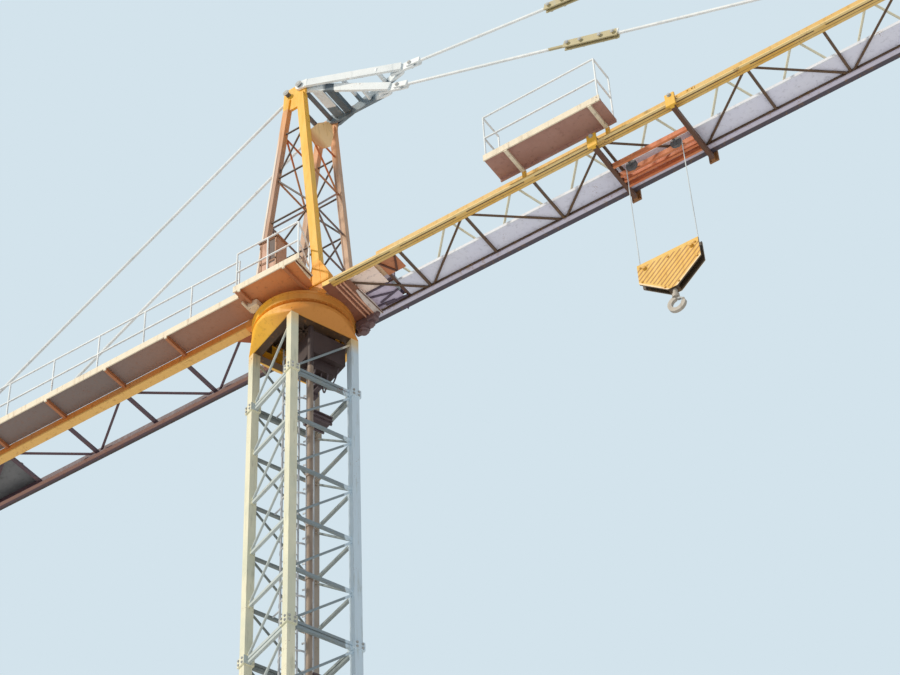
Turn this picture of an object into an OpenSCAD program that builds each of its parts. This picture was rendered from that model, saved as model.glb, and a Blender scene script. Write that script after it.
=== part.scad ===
// Tower crane with a saddle jib, as a 1:10 scale model in millimetres.
// Frame: origin under the middle of the anchor cross, +Z up, +X along the jib,
// +Y to the side of the jib that has no platforms.

/* [Anchor cross] */
// Width of a cross beam
cross_w = 30; // [22:1:36]
// Height of a cross beam
cross_h = 40; // [30:1:50]
// Flange and web thickness of a cross beam
cross_t = 6; // [4:0.5:8]
// Side of a square foot plate
foot_side = 64; // [58:1:76]
// Thickness of a foot plate
foot_t = 8; // [6:0.5:12]
// Distance from a leg to the middle of its foot plate
foot_out = 48; // [44:1:60]
// Diameter of an anchor hole
anchor_d = 6; // [4:0.5:7]
// Pitch circle of the four anchor holes in a foot
anchor_pcd = 62; // [58:1:66]
// Thickness of the seat plate under a leg
seat_t = 5; // [3:0.5:8]

/* [Mast] */
// Turn of the mast against the jib at rest, in degrees
mast_yaw = -21.2; // [-45:0.1:45]
// Outside width of the square mast
mast_w = 160; // [150:1:170]
// Side of a corner chord
mast_chord = 17; // [13:1:20]
// Height of one braced bay
bay_h = 125; // [110:1:140]
// Bays in the base section
base_bays = 6; // [5:1:7]
// Bays in a mast section
section_bays = 5; // [4:1:6]
// Free leg length below the lowest bay of the base section
leg_rise = 65; // [50:1:90]
// Height of the head section under the slewing ring
head_rise = 150; // [140:1:165]
// Side of a horizontal bar
mast_rail = 6; // [5:0.5:7]
// Diameter of a diagonal
mast_lace = 5; // [4:0.5:6]
// Side of a bolted joint block on a chord
joint_side = 23; // [21:1:26]
// Height of a bolted joint block
joint_h = 9; // [6:1:14]

/* [Ladder and conduit] */
// Width of the ladder between its stiles
ladder_w = 38; // [30:1:44]
// Diameter of a ladder stile
stile_d = 4; // [3:0.5:5]
// Diameter of a rung
rung_d = 2.6; // [2:0.2:3.4]
// Pitch of the rungs
rung_pitch = 31.25; // [25:0.25:35]
// Distance of the ladder from the mast axis
ladder_x = 44; // [36:1:50]
// Outside diameter of the cable conduit
conduit_d = 12; // [9:0.5:13]
// Outside diameter of a conduit collar
collar_d = 15; // [13.5:0.5:17]
// Place of the conduit along the mast face
conduit_y = -22; // [-34:1:-12]

/* [Slewing ring] */
// Outside diameter of the ring flanges
ring_d = 210; // [200:1:216]
// Height of the square-to-round collar
collar_h = 25; // [20:1:32]
// Thickness of the collar flange
flange_t = 6; // [4:0.5:8]
// Wall of the collar
collar_wall = 5; // [4:0.5:7]
// Height of the bearing ring
bearing_h = 10; // [8:0.5:14]
// Diameter of the opening up through the ring
ring_bore = 150; // [130:1:156]
// Running gap in the slewing bearing
bearing_gap = 0.4; // [0.3:0.1:0.8]
// Height of the turning drum
drum_h = 16; // [12:0.5:22]
// Diameter of the deck disc on the drum
deck_d = 212; // [208:1:224]
// Thickness of the deck disc
deck_t = 6; // [4:0.5:8]

/* [Tower head] */
// Half length of the head's base along the jib
head_half = 84; // [76:1:88]
// Distance between the two side frames
head_w = 120; // [112:1:124]
// Place of the head's top along the jib
head_x = 17; // [10:1:24]
// Height of the head's top above the jib's lower plane
head_h = 690; // [640:1:730]
// Half width of a side frame at its top
head_tip = 15; // [13:1:20]
// Side of a leg
head_leg = 14; // [12:0.5:16]
// Side of the stouter front leg on the platform side
near_leg = 18; // [16:0.5:20]
// Diameter of a head brace
head_lace = 4.5; // [4:0.5:6]
// Height of the gusset at the foot of a leg, the stouter one's apart
gusset_h = 60; // [45:1:70]
// Height of the block at the foot of the stouter leg
foot_block_h = 72; // [64:1:80]
// Thickness of a top plate
top_plate_t = 6; // [5:0.5:7]
// Bays of bracing in the head
head_bays = 5; // [4:1:6]
// Diameter of the two top axles
axle_d = 11; // [9:0.5:12]

/* [Pendants] */
// Reach of the outer yoke in front of its axle
outer_reach = 252; // [240:1:262]
// Drop of the outer yoke's tip below its axle
outer_drop = 40; // [34:1:46]
// Reach of the inner yoke in front of its axle
inner_reach = 218; // [206:1:228]
// Drop of the inner yoke's tip below its axle
inner_drop = 92; // [86:1:98]
// Thickness of a yoke arm
arm_t = 6; // [5:0.5:7]
// Depth of a yoke arm
arm_h = 22; // [18:0.5:24]
// Diameter of a pendant or tie bar
tie_d = 7; // [5:0.5:8]
// Length of a coupling's link plates
coupling_l = 135; // [120:1:150]
// Depth of a coupling's link plates
coupling_h = 18; // [14:0.5:20]
// Distance of the outer coupling from its yoke
outer_couple = 350; // [320:5:380]
// Distance of the inner coupling from its yoke
inner_couple = 445; // [420:5:470]
// Pin diameter of the pendant forks
pin_d = 7; // [5:0.5:8]

/* [Jib] */
// Distance between the lower chords
jib_w = 129; // [125:1:133]
// Height from the lower chords to the apex chord
jib_h = 95; // [85:1:110]
// Side of a lower chord
jib_chord = 13; // [11:0.5:14]
// Side of the apex chord
apex_chord = 11; // [9:0.5:13]
// Length of a jib panel
panel = 157.5; // [150:0.5:160]
// Diameter of jib bracing
jib_lace = 5; // [4.5:0.5:7]
// Width of the wheel ledge beside a lower chord
ledge_w = 6.5; // [6:0.5:8]
// Thickness of the wheel ledge
ledge_t = 2; // [1.5:0.5:3]
// Width of the catwalk inside the jib
catwalk_w = 46; // [38:1:47]
// Length of the plated jib root in front of the slewing frame
root_plate = 48; // [40:1:56]

/* [Counter jib] */
// Distance between the longerons
counter_w = 120; // [116:1:124]
// Width of a longeron
longeron_w = 13; // [10:0.5:15]
// Height of a longeron
longeron_h = 20; // [16:1:24]
// Width of the flange under a longeron
flange_w = 20; // [16:1:24]
// Length of the counter jib behind the slewing axis
counter_len = 1330; // [1300:5:1360]
// Pitch of its cross members
counter_pitch = 160; // [150:1:170]

/* [Trolley and hook] */
// Distance of the trolley from the slewing axis at rest
trolley_x = 825; // [780:1:860]
// Distance between the trolley's axles
trolley_base = 172; // [160:1:180]
// Height of the trolley's beams
trolley_beam = 12; // [9:0.5:14]
// Width of a lengthwise trolley bar
trolley_bar = 5; // [4:0.5:6]
// Diameter of a trolley wheel
wheel_d = 16; // [12:0.5:18]
// Width of a trolley wheel
wheel_w = 4.5; // [3.5:0.5:5]
// Distance between the hoist ropes
rope_span = 122; // [110:1:130]
// Diameter of a hoist rope
rope_d = 2; // [1.6:0.2:2.6]
// Diameter of a rope sheave
sheave_d = 24; // [20:1:26]
// Width of a rope sheave
sheave_w = 5; // [4.5:0.5:6]
// Drop from the jib's lower plane to the top of the hook block at rest
hook_drop = 305; // [280:1:400]
// Width of the hook block's flat top
block_w = 128; // [124:1:134]
// Height of the hook block's upright sides
block_side = 50; // [44:1:56]
// Depth of the hook block to its lower point
block_depth = 96; // [90:1:104]
// Thickness of the hook block over its plates
block_t = 18; // [16:1:22]
// Thickness of a hook block plate
plate_t = 3.5; // [3:0.5:4]

/* [Platforms] */
// Height of a handrail above its deck
rail_h = 110; // [95:1:120]
// Height of the service platform's handrail above its deck
service_rail_h = 125; // [110:1:135]
// Diameter of handrail tube
rail_d = 4; // [3:0.2:4.6]
// Thickness of a walkway deck
deck_plate = 3; // [2:0.5:4]
// Height of a walkway fascia
fascia_h = 16; // [13:1:20]
// Thickness of a walkway fascia
fascia_t = 2.5; // [2:0.5:4]
// Width of the counter jib walkway
walk_w = 64; // [50:1:70]
// Width of the wider platform beside the head
side_w = 82; // [74:1:90]
// Width of the service platform on the jib
service_w = 66; // [58:1:74]
// Length of the service platform
service_l = 262; // [250:1:275]
// Place of the service platform's near end along the jib
service_x = 529; // [515:1:540]
// Height of the control cabinet
cabinet_h = 150; // [130:1:170]
// Width of the control cabinet along the walkway
cabinet_w = 42; // [36:1:50]
// Depth of the control cabinet
cabinet_depth = 34; // [28:1:40]

/* [Hidden] */
sections = 4;
panels = 25;
panels_per_section = 5;
touch = 0.3;
mast_a = (mast_w - mast_chord)/2;
leg_r = mast_a*sqrt(2);
foot_r = leg_r + foot_out;
base_z = cross_h + seat_t;
first_z = base_z + leg_rise;
section_z = first_z + base_bays*bay_h;
section_l = section_bays*bay_h;
mast_top = section_z + sections*section_l;
collar_z = mast_top + head_rise;
bearing_z = collar_z + collar_h + flange_t;
drum_z = bearing_z + bearing_h + bearing_gap;
frame_z = drum_z + drum_h + deck_t;
jib_z = frame_z + jib_chord/2;
jib_y = jib_w/2;
apex_z = jib_z + jib_h;
head_y = head_w/2;
head_top = jib_z + head_h;
frame_top = frame_z + longeron_h;
root_x = head_half + longeron_w;
jib_x = 117.5;
inner_node = 8;
outer_node = 19;
lace_z = jib_z + 0.5;
eye_t = 6;
eye_wall = 5;
top_plate_h = 62;
leg_stop = 26;
axle_end = 4;
axle_gap = 4;
axle_step = 8;
tie_lug_t = 3;
tie_lug_l = 20;
tie_pin_d = 7;
tie_z = frame_top + 10;
counter_bays = 6;
weights = 4;
weight_t = 40;
weight_pitch = 44;
weights_x = -counter_len + 14;
tie_x = weights_x + weights*weight_pitch + 30;
front_axle = [head_x + head_tip + axle_gap/2, 0, head_top];
rear_axle = [head_x - head_tip - axle_gap/2, 0, head_top - axle_step];
eye_off = top_plate_t/2 + touch + eye_t/2;
outer_eye_y = head_y + eye_off;
inner_eye_y = head_y - eye_off;
tie_y = inner_eye_y;
outer_tip = front_axle + [outer_reach, 0, -outer_drop];
inner_tip = front_axle + [inner_reach, 0, -inner_drop];
lug_t = 6;
lug_l = 22;
lug_rise = 12;
lug_edge = 8;
link_t = 3;
link_h = 14;
fork_l = 26;
fork_block = 14;
clamp_h = 22;
strap_h = 7;
strap_w = 7;
arm_w = 6;
arm_drop = 9;
walk_gap = max(near_leg - longeron_w, 0)/2;
housing = [[4, 65, conduit_y, 58, 70, 60], [16, 52, conduit_y + 14, 42, 98, 29], [24, 38, 2, 30, 110, 13]];
foot_out_l = 14;
foot_in_l = 8;
fascia_drop = 4;
stringer = 4;
stringer_h = 6;
hook_d = 36;
hook_hole = 20;
hook_t = 7;
hook_low = 36;
hook_tip_d = 6.6;
root_plate_t = 3;
frame_plate_x = -40;
leg_step = max(near_leg, longeron_w)/2 - max(head_leg, longeron_w)/2;
root_end = max(root_x, deck_d/2 - 19) + root_plate;
rib_h = 4;
winch_half = 26;
winch_beam = 5;
winch_y = 28;
winch_w = 44;
winch_d = 34;
catwalk_y = 11;

// Straight bar of few sides from point p to point q
module bar(p, q, d, n = 6) {
    v = q - p;
    l = norm(v);
    translate(p) rotate([0, acos(v[2]/l), atan2(v[1], v[0])]) cylinder(d = d, h = l, $fn = n);
}

// Plate of thickness t across and depth h upright, along the line from p to q
module flat_bar(p, q, t, h) {
    v = q - p;
    l = norm(v);
    translate(p) rotate([0, acos(v[2]/l), atan2(v[1], v[0])]) translate([-h/2, -t/2, 0]) cube([h, t, l]);
}

// Straight square bar with side d from point p to point q
module square_bar(p, q, d) {
    v = q - p;
    l = norm(v);
    translate(p) rotate([0, acos(v[2]/l), atan2(v[1], v[0])]) translate([-d/2, -d/2, 0]) cube([d, d, l]);
}

// Upright box beam centred on a line along X from x0 to x1
module beam_x(x0, x1, y, z, w, h) {
    translate([x0, y - w/2, z]) cube([x1 - x0, w, h]);
}

// Upright box beam centred on a line along Y from y0 to y1
module beam_y(x, y0, y1, z, w, h) {
    translate([x - w/2, y0, z]) cube([w, y1 - y0, h]);
}

// Turns what stands on the mast's own axes
module on_mast() {
    rotate([0, 0, mast_yaw]) children();
}

// I-section beam along X, resting on z = 0
module i_beam(l) {
    e = (cross_w - cross_t)/2;
    rotate([90, 0, 90]) linear_extrude(l, center = true)
        difference() {
            translate([-cross_w/2, 0]) square([cross_w, cross_h]);
            for (s = [-1, 1])
                translate([s*(cross_t + e)/2 - e/2 + s*0.5, cross_t])
                    square([e + 1, cross_h - 2*cross_t]);
        }
}

module anchor_cross() {
    color("ivory") on_mast() for (turn = [45, 135]) rotate([0, 0, turn]) {
        i_beam(2*(foot_r + cross_w/2));
        for (s = [-1, 1]) {
            difference() {
                translate([s*foot_r - foot_side/2, -foot_side/2, 0]) cube([foot_side, foot_side, foot_t]);
                for (k = [0:3]) translate([s*foot_r, 0, -1]) rotate([0, 0, 45 + 90*k])
                    translate([anchor_pcd/2, 0, 0]) cylinder(d = anchor_d, h = foot_t + 2, $fn = 24);
            }
            translate([s*leg_r - cross_w/2, -cross_w/2, cross_h - cross_t])
                cube([cross_w, cross_w, seat_t + cross_t]);
        }
    }
}

module mast_chords(z0, z1) {
    for (sx = [-1, 1], sy = [-1, 1])
        translate([sx*mast_a - mast_chord/2, sy*mast_a - mast_chord/2, z0])
            cube([mast_chord, mast_chord, z1 - z0]);
}

module mast_joint_blocks(z) {
    for (sx = [-1, 1], sy = [-1, 1])
        translate([sx*mast_a - joint_side/2, sy*mast_a - joint_side/2, z])
            cube([joint_side, joint_side, joint_h]);
}

// Four horizontals round the mast, centred on height z
module mast_horizontals(z) {
    for (turn = [0:90:270]) rotate([0, 0, turn])
        translate([-mast_a, -mast_a - mast_rail/2, z - mast_rail/2]) cube([2*mast_a, mast_rail, mast_rail]);
}

// Diagonals of one bay: one on each face, all rising the same way round the mast
module mast_diagonals(z0, z1) {
    for (turn = [0:90:270]) rotate([0, 0, turn])
        bar([-mast_a, -mast_a, z0], [mast_a, -mast_a, z1], mast_lace);
}

// Braced section of the mast from z0 upwards, with its joint blocks at both ends
module mast_section(z0, bays) {
    inset = joint_h/2;
    level = [for (k = [0:bays]) z0 + k*bay_h + (k == 0 ? inset : k == bays ? -inset : 0)];
    color("ivory") on_mast() {
        mast_chords(z0, z0 + bays*bay_h);
        mast_joint_blocks(z0);
        mast_joint_blocks(z0 + bays*bay_h - joint_h);
        for (z = level) mast_horizontals(z);
        for (k = [0:bays - 1]) mast_diagonals(level[k], level[k + 1]);
    }
}

module mast_base_section() {
    mast_section(first_z, base_bays);
    color("ivory") on_mast() {
        mast_chords(base_z, first_z + 1);
        mast_joint_blocks(base_z);
    }
}

module mast_head_section() {
    low = mast_top + joint_h/2;
    color("ivory") on_mast() {
        mast_chords(mast_top, collar_z);
        mast_joint_blocks(mast_top);
        mast_horizontals(low);
        mast_diagonals(low, collar_z - mast_rail);
    }
}

module mast_ladder() {
    z0 = cross_h + touch;
    z1 = collar_z + collar_h;
    rungs = floor((z1 - z0)/rung_pitch);
    reach = mast_a - mast_rail/2 - ladder_x;
    color("gainsboro") on_mast() {
        for (s = [-1, 1]) {
            translate([-ladder_x, s*ladder_w/2, z0]) cylinder(d = stile_d, h = z1 - z0, $fn = 6);
            for (k = [0:2:base_bays + sections*section_bays])
                translate([-ladder_x - reach, s*ladder_w/2 - rung_d/2, ladder_bracket_z(k) - rung_d/2])
                    cube([reach, rung_d, rung_d]);
        }
        for (k = [1:rungs - 1])
            translate([-ladder_x, -ladder_w/2, z0 + k*rung_pitch]) rotate([-90, 0, 0])
                cylinder(d = rung_d, h = ladder_w, $fn = 6);
    }
}

// Height of the mast horizontal that carries ladder bracket k
function ladder_bracket_z(k) = first_z + k*bay_h
    + (k == 0 || (k - base_bays) % section_bays == 0 ? joint_h/2 : 0);

// Cable conduit up the mast and the slip-ring housing at its head
module cable_conduit() {
    x = mast_a - mast_rail/2 - collar_d/2;
    z0 = cross_h + touch;
    color("sienna") on_mast() translate([x, conduit_y, 0]) {
        translate([0, 0, z0]) cylinder(d = conduit_d, h = collar_z - touch - z0, $fn = 16);
        for (k = [1:base_bays + sections*section_bays])
            translate([0, 0, ladder_bracket_z(k) - mast_rail/2])
                cylinder(d = collar_d, h = mast_rail, $fn = 16);
    }
    color("sienna") on_mast() for (b = housing)
        translate([b[0], b[2], collar_z - b[4]]) cube([b[1] - b[0], b[3] - b[2], b[5]]);
}

// Square-to-round collar that seats the slewing ring on the mast
module ring_collar() {
    inner = mast_w - 2*mast_chord - 6;
    color("orange") {
        difference() {
            hull() {
                on_mast() translate([-mast_w/2, -mast_w/2, collar_z]) cube([mast_w, mast_w, 2]);
                translate([0, 0, collar_z + collar_h - 2]) cylinder(d = ring_d, h = 2, $fn = 48);
            }
            hull() {
                on_mast() translate([-inner/2, -inner/2, collar_z - 1]) cube([inner, inner, 1]);
                translate([0, 0, collar_z + collar_h]) cylinder(d = ring_d - 4*collar_wall, h = 1, $fn = 48);
            }
        }
        translate([0, 0, collar_z + collar_h]) difference() {
            cylinder(d = ring_d, h = flange_t, $fn = 72);
            translate([0, 0, -1]) cylinder(d = ring_bore, h = flange_t + 2, $fn = 72);
        }
    }
}

module slewing_ring() {
    color("darkorange") translate([0, 0, bearing_z]) difference() {
        union() {
            cylinder(d = ring_d - 16, h = bearing_h, $fn = 72);
            cylinder(d = ring_bore + 12, h = bearing_h + drum_h/2, $fn = 72);
        }
        translate([0, 0, -1]) cylinder(d = ring_bore, h = bearing_h + drum_h + 2, $fn = 72);
    }
}

// Drum on the bearing, closed above by the deck disc
module turntable() {
    color("orange") difference() {
        union() {
            translate([0, 0, drum_z]) cylinder(d = ring_d, h = drum_h, $fn = 72);
            translate([0, 0, drum_z + drum_h]) cylinder(d = deck_d, h = deck_t, $fn = 72);
        }
        translate([0, 0, drum_z - 1]) cylinder(d = ring_bore - 8, h = drum_h + 1, $fn = 72);
        translate([0, 0, drum_z - 1])
            cylinder(d = ring_bore + 12 + 2*bearing_gap, h = drum_h/2 + 1.5, $fn = 72);
    }
}

// Frame of box beams under the tower head, bolted on the deck disc
module slewing_frame() {
    color("darkorange") {
        for (s = [-1, 1]) beam_x(-root_x, root_x, s*head_y, frame_z, longeron_w, longeron_h);
        for (x = [-head_half, head_half])
            beam_y(x, -head_y, head_y, frame_z, longeron_w, longeron_h);
        beam_y(0, -head_y, head_y, frame_z, longeron_w, jib_chord);
        translate([-root_x + 1, -head_y, frame_z]) cube([root_x - 1 + frame_plate_x, head_w, root_plate_t]);
    }
}

function head_leg_x(s, t) = s*head_half + t*(head_x + s*head_tip - s*head_half);
function head_level(t) = frame_top + t*(head_top - frame_top);

// Side of leg s, -1 at the rear and 1 at the front, of the side frame at f*head_y
function leg_side(s, f) = s == 1 && f == -1 ? near_leg : head_leg;

// One side frame of the tower head, f = -1 on the platform side
module head_frame(f) {
    y = f*head_y;
    stop = 1 - leg_stop/(head_top - frame_top);
    c = [for (s = [-1, 1]) [for (k = [0:head_bays])
        [head_leg_x(s, k/head_bays), y, head_level(k/head_bays)]]];
    difference() {
        union() {
            for (s = [-1, 1])
                square_bar([head_leg_x(s, 0), y, head_level(0)], [head_leg_x(s, stop), y, head_level(stop)],
                    leg_side(s, f));
            for (k = [1:head_bays - 1]) bar(c[0][k], c[1][k], head_lace);
            for (k = [0:head_bays - 2]) bar(c[k % 2][k + 1], c[1 - k % 2][k], head_lace);
            for (s = [-1, 1]) foot_gusset(s, f);
            top_plate(y);
        }
        translate([-head_half - head_leg, y - head_w/4, frame_top - head_leg])
            cube([head_w*2, head_w/2, head_leg]);
        for (at = [front_axle, rear_axle]) eye_bore(at + [0, y, 0], axle_d, head_leg);
    }
}

// Gusset plate round the foot of leg s of side frame f; a wide block round the stouter leg
module foot_gusset(s, f) {
    stout = leg_side(s, f) == near_leg && s == 1 && f == -1;
    t = stout ? near_leg - 1 : top_plate_t;
    h = stout ? foot_block_h : gusset_h;
    side = head_leg/2;
    inner = head_half - side - 8 - (stout ? foot_in_l : 0);
    outer = root_x + (stout ? foot_out_l : 0);
    translate([0, f*head_y + t/2, frame_top]) rotate([90, 0, 0]) linear_extrude(t)
        polygon([for (p = [[inner, -1], [outer, -1], [outer, side + (stout ? foot_out_l : 0)],
            [head_half + side - (stout ? 0 : 4), h - side], [head_half - side - 5, h]]) [s*p[0], p[1]]]);
}

// Plate that ties the two legs of a side frame together at the top and holds both axles
module top_plate(y) {
    x0 = rear_axle[0];
    x1 = front_axle[0];
    translate([0, y + top_plate_t/2, head_top]) rotate([90, 0, 0]) linear_extrude(top_plate_t)
        polygon([[x0 - 16, -top_plate_h], [x1 + 10, -top_plate_h], [x1 + 12, 6], [x1 + 6, 12], [x0 - 4, 12],
            [x0 - 13, 2]]);
}

module head_near_frame() {
    color("gold") head_frame(-1);
}

module head_far_frame() {
    color("orange") head_frame(1);
}

// Half width inside the legs on side f of face s
function head_inside(s, f) = head_y - leg_side(s, f)/2 - touch;

// Bracing across the head between its two side frames
module head_cross_bracing() {
    color("darkorange") for (s = [-1, 1]) for (k = [1:head_bays - 1]) {
        t = k/head_bays;
        p = [head_leg_x(s, t), 0, head_level(t)];
        bar(p - [0, head_inside(s, -1), 0], p + [0, head_inside(s, 1), 0], head_lace);
        if (k < head_bays - 1) {
            u = (k + 1)/head_bays;
            q = [head_leg_x(s, u), 0, head_level(u)];
            f = k % 2 == 0 ? -1 : 1;
            bar(p + [0, f*(head_inside(s, f) - head_lace), 0], q - [0, f*(head_inside(s, -f) - head_lace), 0],
                head_lace);
        }
    }
}

// Slanting plate high in the face towards the jib, on the bracing
module head_plate() {
    t = (head_bays - 1)/head_bays;
    lean = atan2(head_leg_x(1, 0) - head_leg_x(1, 1), head_top - frame_top);
    color("sandybrown") translate([head_leg_x(1, t), 0, head_level(t)]) rotate([0, -lean, 0])
        translate([head_lace/2 + touch, 0, 0]) rotate([90, 0, 90]) linear_extrude(3)
            polygon([[-44, -40], [-44, -4], [-10, 54], [34, 104], [48, 104], [48, 66], [32, 12], [4, -24],
                [-30, -44]]);
}

module head_axle() {
    half = outer_eye_y + eye_t/2 + axle_end;
    color("peru") for (at = [front_axle, rear_axle])
        translate(at - [0, half, 0]) rotate([-90, 0, 0]) cylinder(d = axle_d, h = 2*half, $fn = 24);
}

// Bore round a pin of diameter d that lies along Y through the point at
module eye_bore(at, d, t) {
    translate(at - [0, t, 0]) rotate([-90, 0, 0]) cylinder(d = d + 2*touch, h = 2*t, $fn = 24);
}

// Eye round such a pin
module eye(at, d) {
    translate(at - [0, eye_t/2, 0]) rotate([-90, 0, 0]) cylinder(d = d + 2*eye_wall, h = eye_t, $fn = 24);
}

// Two bent arms from the front axle to the eye plate of a pendant; a cross plate is given as its place in
// parts of the arm's length, its length and its depth
module yoke(tip, side, plates) {
    p = front_axle;
    v = tip - p;
    u = v/norm(v);
    end = tip - 22*u;
    y1 = lug_t/2 + arm_t/2 - 1;
    difference() {
        union() {
            for (s = [-1, 1]) {
                eye(p + [0, s*side, 0], arm_h + 2 - 2*eye_wall);
                flat_bar(p + [0, s*side, 0], p + 19*u + [0, s*side, 0], arm_t - 1, arm_h + 1);
                flat_bar(p + 14*u + [0, s*side, 0], end + [0, s*y1, 0], arm_t, arm_h);
            }
            for (c = plates) {
                half = side - c[0]*(side - y1);
                a = p + c[0]*v;
                flat_bar(a, a + c[1]*u, 2*half, c[2]);
            }
            flat_bar(tip - 52*u, tip + lug_edge*u, lug_t, arm_h - 1);
        }
        for (s = [-1, 1]) eye_bore(p + [0, s*side, 0], axle_d, eye_t);
        eye_bore(tip, pin_d, lug_t);
    }
}

module outer_yoke() {
    color("lightsteelblue") yoke(outer_tip, outer_eye_y, [[0.36, 6, 10], [0.68, 6, 10]]);
}

module inner_yoke() {
    color("lightsteelblue") yoke(inner_tip, inner_eye_y, [[0.07, 28, 4], [0.23, 20, 10], [0.6, 6, 10]]);
}

// Pin of the pendant lug over panel node k + 1/2
function apex_pin(k) = [jib_x + panel*(k + 0.5), 0, apex_z + apex_chord/2 + lug_rise];

// Lug on the apex chord over panel node k + 1/2
module apex_lug(k) {
    difference() {
        translate(apex_pin(k) - [lug_l/2, lug_t/2, lug_rise + apex_chord/2]) cube([lug_l, lug_t,
            apex_chord/2 + lug_rise + lug_edge]);
        eye_bore(apex_pin(k), pin_d, lug_t);
    }
}

// Fork of two link plates with its pin at the point at, and the block that joins them to a tie bar along u
module fork(at, u) {
    y = lug_t/2 + touch + link_t/2;
    for (s = [-1, 1])
        flat_bar(at - lug_edge*u + [0, s*y, 0], at + fork_l*u + [0, s*y, 0], link_t, link_h);
    flat_bar(at + fork_block*u, at + fork_l*u, 2*y, tie_d + 1);
    translate(at - [0, y + link_t, 0]) rotate([-90, 0, 0]) cylinder(d = pin_d, h = 2*(y + link_t), $fn = 24);
}

// Tie bar with a fork at each end and one coupling of two link plates and four pins
module pendant(p, q, couple) {
    u = (q - p)/norm(q - p);
    fork(p, u);
    fork(q, -u);
    bar(p + (fork_block + 2)*u, q - (fork_block + 2)*u, tie_d, 8);
    y = (tie_d + link_t)/2 - 0.5;
    for (s = [-1, 1])
        flat_bar(p + couple*u + [0, s*y, 0], p + (couple + coupling_l)*u + [0, s*y, 0], link_t, coupling_h);
    for (t = [0.08, 0.32, 0.68, 0.92])
        translate(p + (couple + t*coupling_l)*u - [0, tie_d/2 + 2*link_t, 0]) rotate([-90, 0, 0])
            cylinder(d = pin_d, h = tie_d + 4*link_t, $fn = 12);
}

module jib_pendants() {
    color("lightsteelblue") {
        pendant(outer_tip, apex_pin(outer_node), outer_couple);
        pendant(inner_tip, apex_pin(inner_node), inner_couple);
    }
}

module counter_ties() {
    color("lightsteelblue") for (s = [-1, 1]) {
        top = rear_axle + [0, s*tie_y, 0];
        end = [tie_x, s*head_y, tie_z];
        u = (end - top)/norm(end - top);
        difference() {
            union() {
                bar(top + (axle_d/2 + 1)*u, end - (tie_pin_d/2 + 1)*u, tie_d, 8);
                eye(top, axle_d);
                eye(end, tie_pin_d);
            }
            eye_bore(top, axle_d, eye_t);
            eye_bore(end, tie_pin_d, eye_t);
        }
    }
}

function jib_near(k) = [jib_x + panel*k, -jib_y, lace_z];
function jib_far(k) = [jib_x + panel*k, jib_y, lace_z];
function jib_apex(k) = [jib_x + panel*(k + 0.5), 0, apex_z];

// Chords of the jib from panel point k0 to k1
module jib_chords(k0, k1, apex0, apex1) {
    x0 = jib_x + panel*k0;
    x1 = jib_x + panel*k1;
    for (s = [-1, 1]) {
        beam_x(x0, x1, s*jib_y, frame_z, jib_chord, jib_chord);
        beam_x(x0, x1, s*(jib_y + jib_chord/2 + ledge_w/2 - 0.5), frame_z, ledge_w + 1, ledge_t);
    }
    beam_x(apex0, apex1, 0, apex_z - apex_chord/2, apex_chord, apex_chord);
}

// Five panels of the jib, from panel point k0; the lacing stays inside the section's own ends
module jib_section(k0, last = false) {
    k1 = k0 + panels_per_section;
    apex0 = k0 == 0 ? jib_x + panel/2 - apex_chord : jib_x + panel*k0;
    apex1 = last ? jib_x + panel*(k1 - 0.5) + apex_chord : jib_x + panel*k1;
    inset = jib_lace/2 + touch;
    in = [for (k = [k0:k1]) [k == k0 ? inset : k == k1 ? -inset : 0, 0, 0]];
    jib_chords(k0, k1, apex0, apex1);
    for (k = [k0:k1 - 1]) {
        a = in[k - k0];
        b = in[k - k0 + 1];
        bar((k % 2 == 0 ? jib_near(k) : jib_far(k)) + a,
            (k % 2 == 0 ? jib_far(k + 1) : jib_near(k + 1)) + b, jib_lace);
        for (p = [jib_near(k) + a, jib_far(k) + a, jib_near(k + 1) + b, jib_far(k + 1) + b])
            bar(p, jib_apex(k), jib_lace);
    }
    for (k = [k0:k1])
        beam_y(jib_x + panel*k + in[k - k0][0], -jib_y, jib_y, lace_z - jib_lace/2, jib_lace, jib_lace);
}

// Plated root of the jib: two lower chords from the slewing frame, plating and ribs under the first bay
module jib_root() {
    plate_y = jib_y - jib_chord/2;
    color("saddlebrown") {
        for (s = [-1, 1]) beam_x(root_x, jib_x, s*jib_y, frame_z, jib_chord, jib_chord);
        for (x = [root_x + 5, jib_x - 5]) beam_y(x, -jib_y, jib_y, frame_z, 8, jib_chord);
        translate([root_x, -plate_y, frame_z]) cube([root_end - root_x, 2*plate_y, root_plate_t]);
        for (x = [root_end - 22, root_end - 12, root_end - 4])
            beam_y(x, -plate_y, plate_y, frame_z - rib_h, root_plate_t, rib_h + 1);
    }
}

// Winch that pulls the trolley, on two cross beams in the first bay
module trolley_winch() {
    x = jib_x + panel/2;
    z = lace_z + jib_lace/2 + touch;
    half = jib_y - jib_chord/2;
    drum = z + winch_beam + winch_d/2 + 4;
    color("dimgray") {
        for (s = [-1, 1]) {
            beam_y(x + s*winch_half, -half, half, z, winch_beam, winch_beam);
            translate([x - winch_half, winch_y + s*winch_w/2 - 2, z + winch_beam - 1])
                cube([2*winch_half, 4, winch_d + 2]);
        }
        translate([x, winch_y - winch_w/2, drum]) rotate([-90, 0, 0])
            cylinder(d = winch_d, h = winch_w, $fn = 40);
        translate([x - winch_half - 2, -50, z + winch_beam]) cube([2*winch_half + 2, 38, 20]);
    }
}

module jib_section_1() { color("goldenrod") jib_section(0); }
module jib_section_2() {
    color("goldenrod") {
        jib_section(5);
        apex_lug(inner_node);
    }
}

module jib_section_3() { color("goldenrod") jib_section(10); }

module jib_section_4() {
    color("goldenrod") {
        jib_section(15);
        apex_lug(outer_node);
    }
}

module jib_section_5() { color("goldenrod") jib_section(20, true); }

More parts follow.
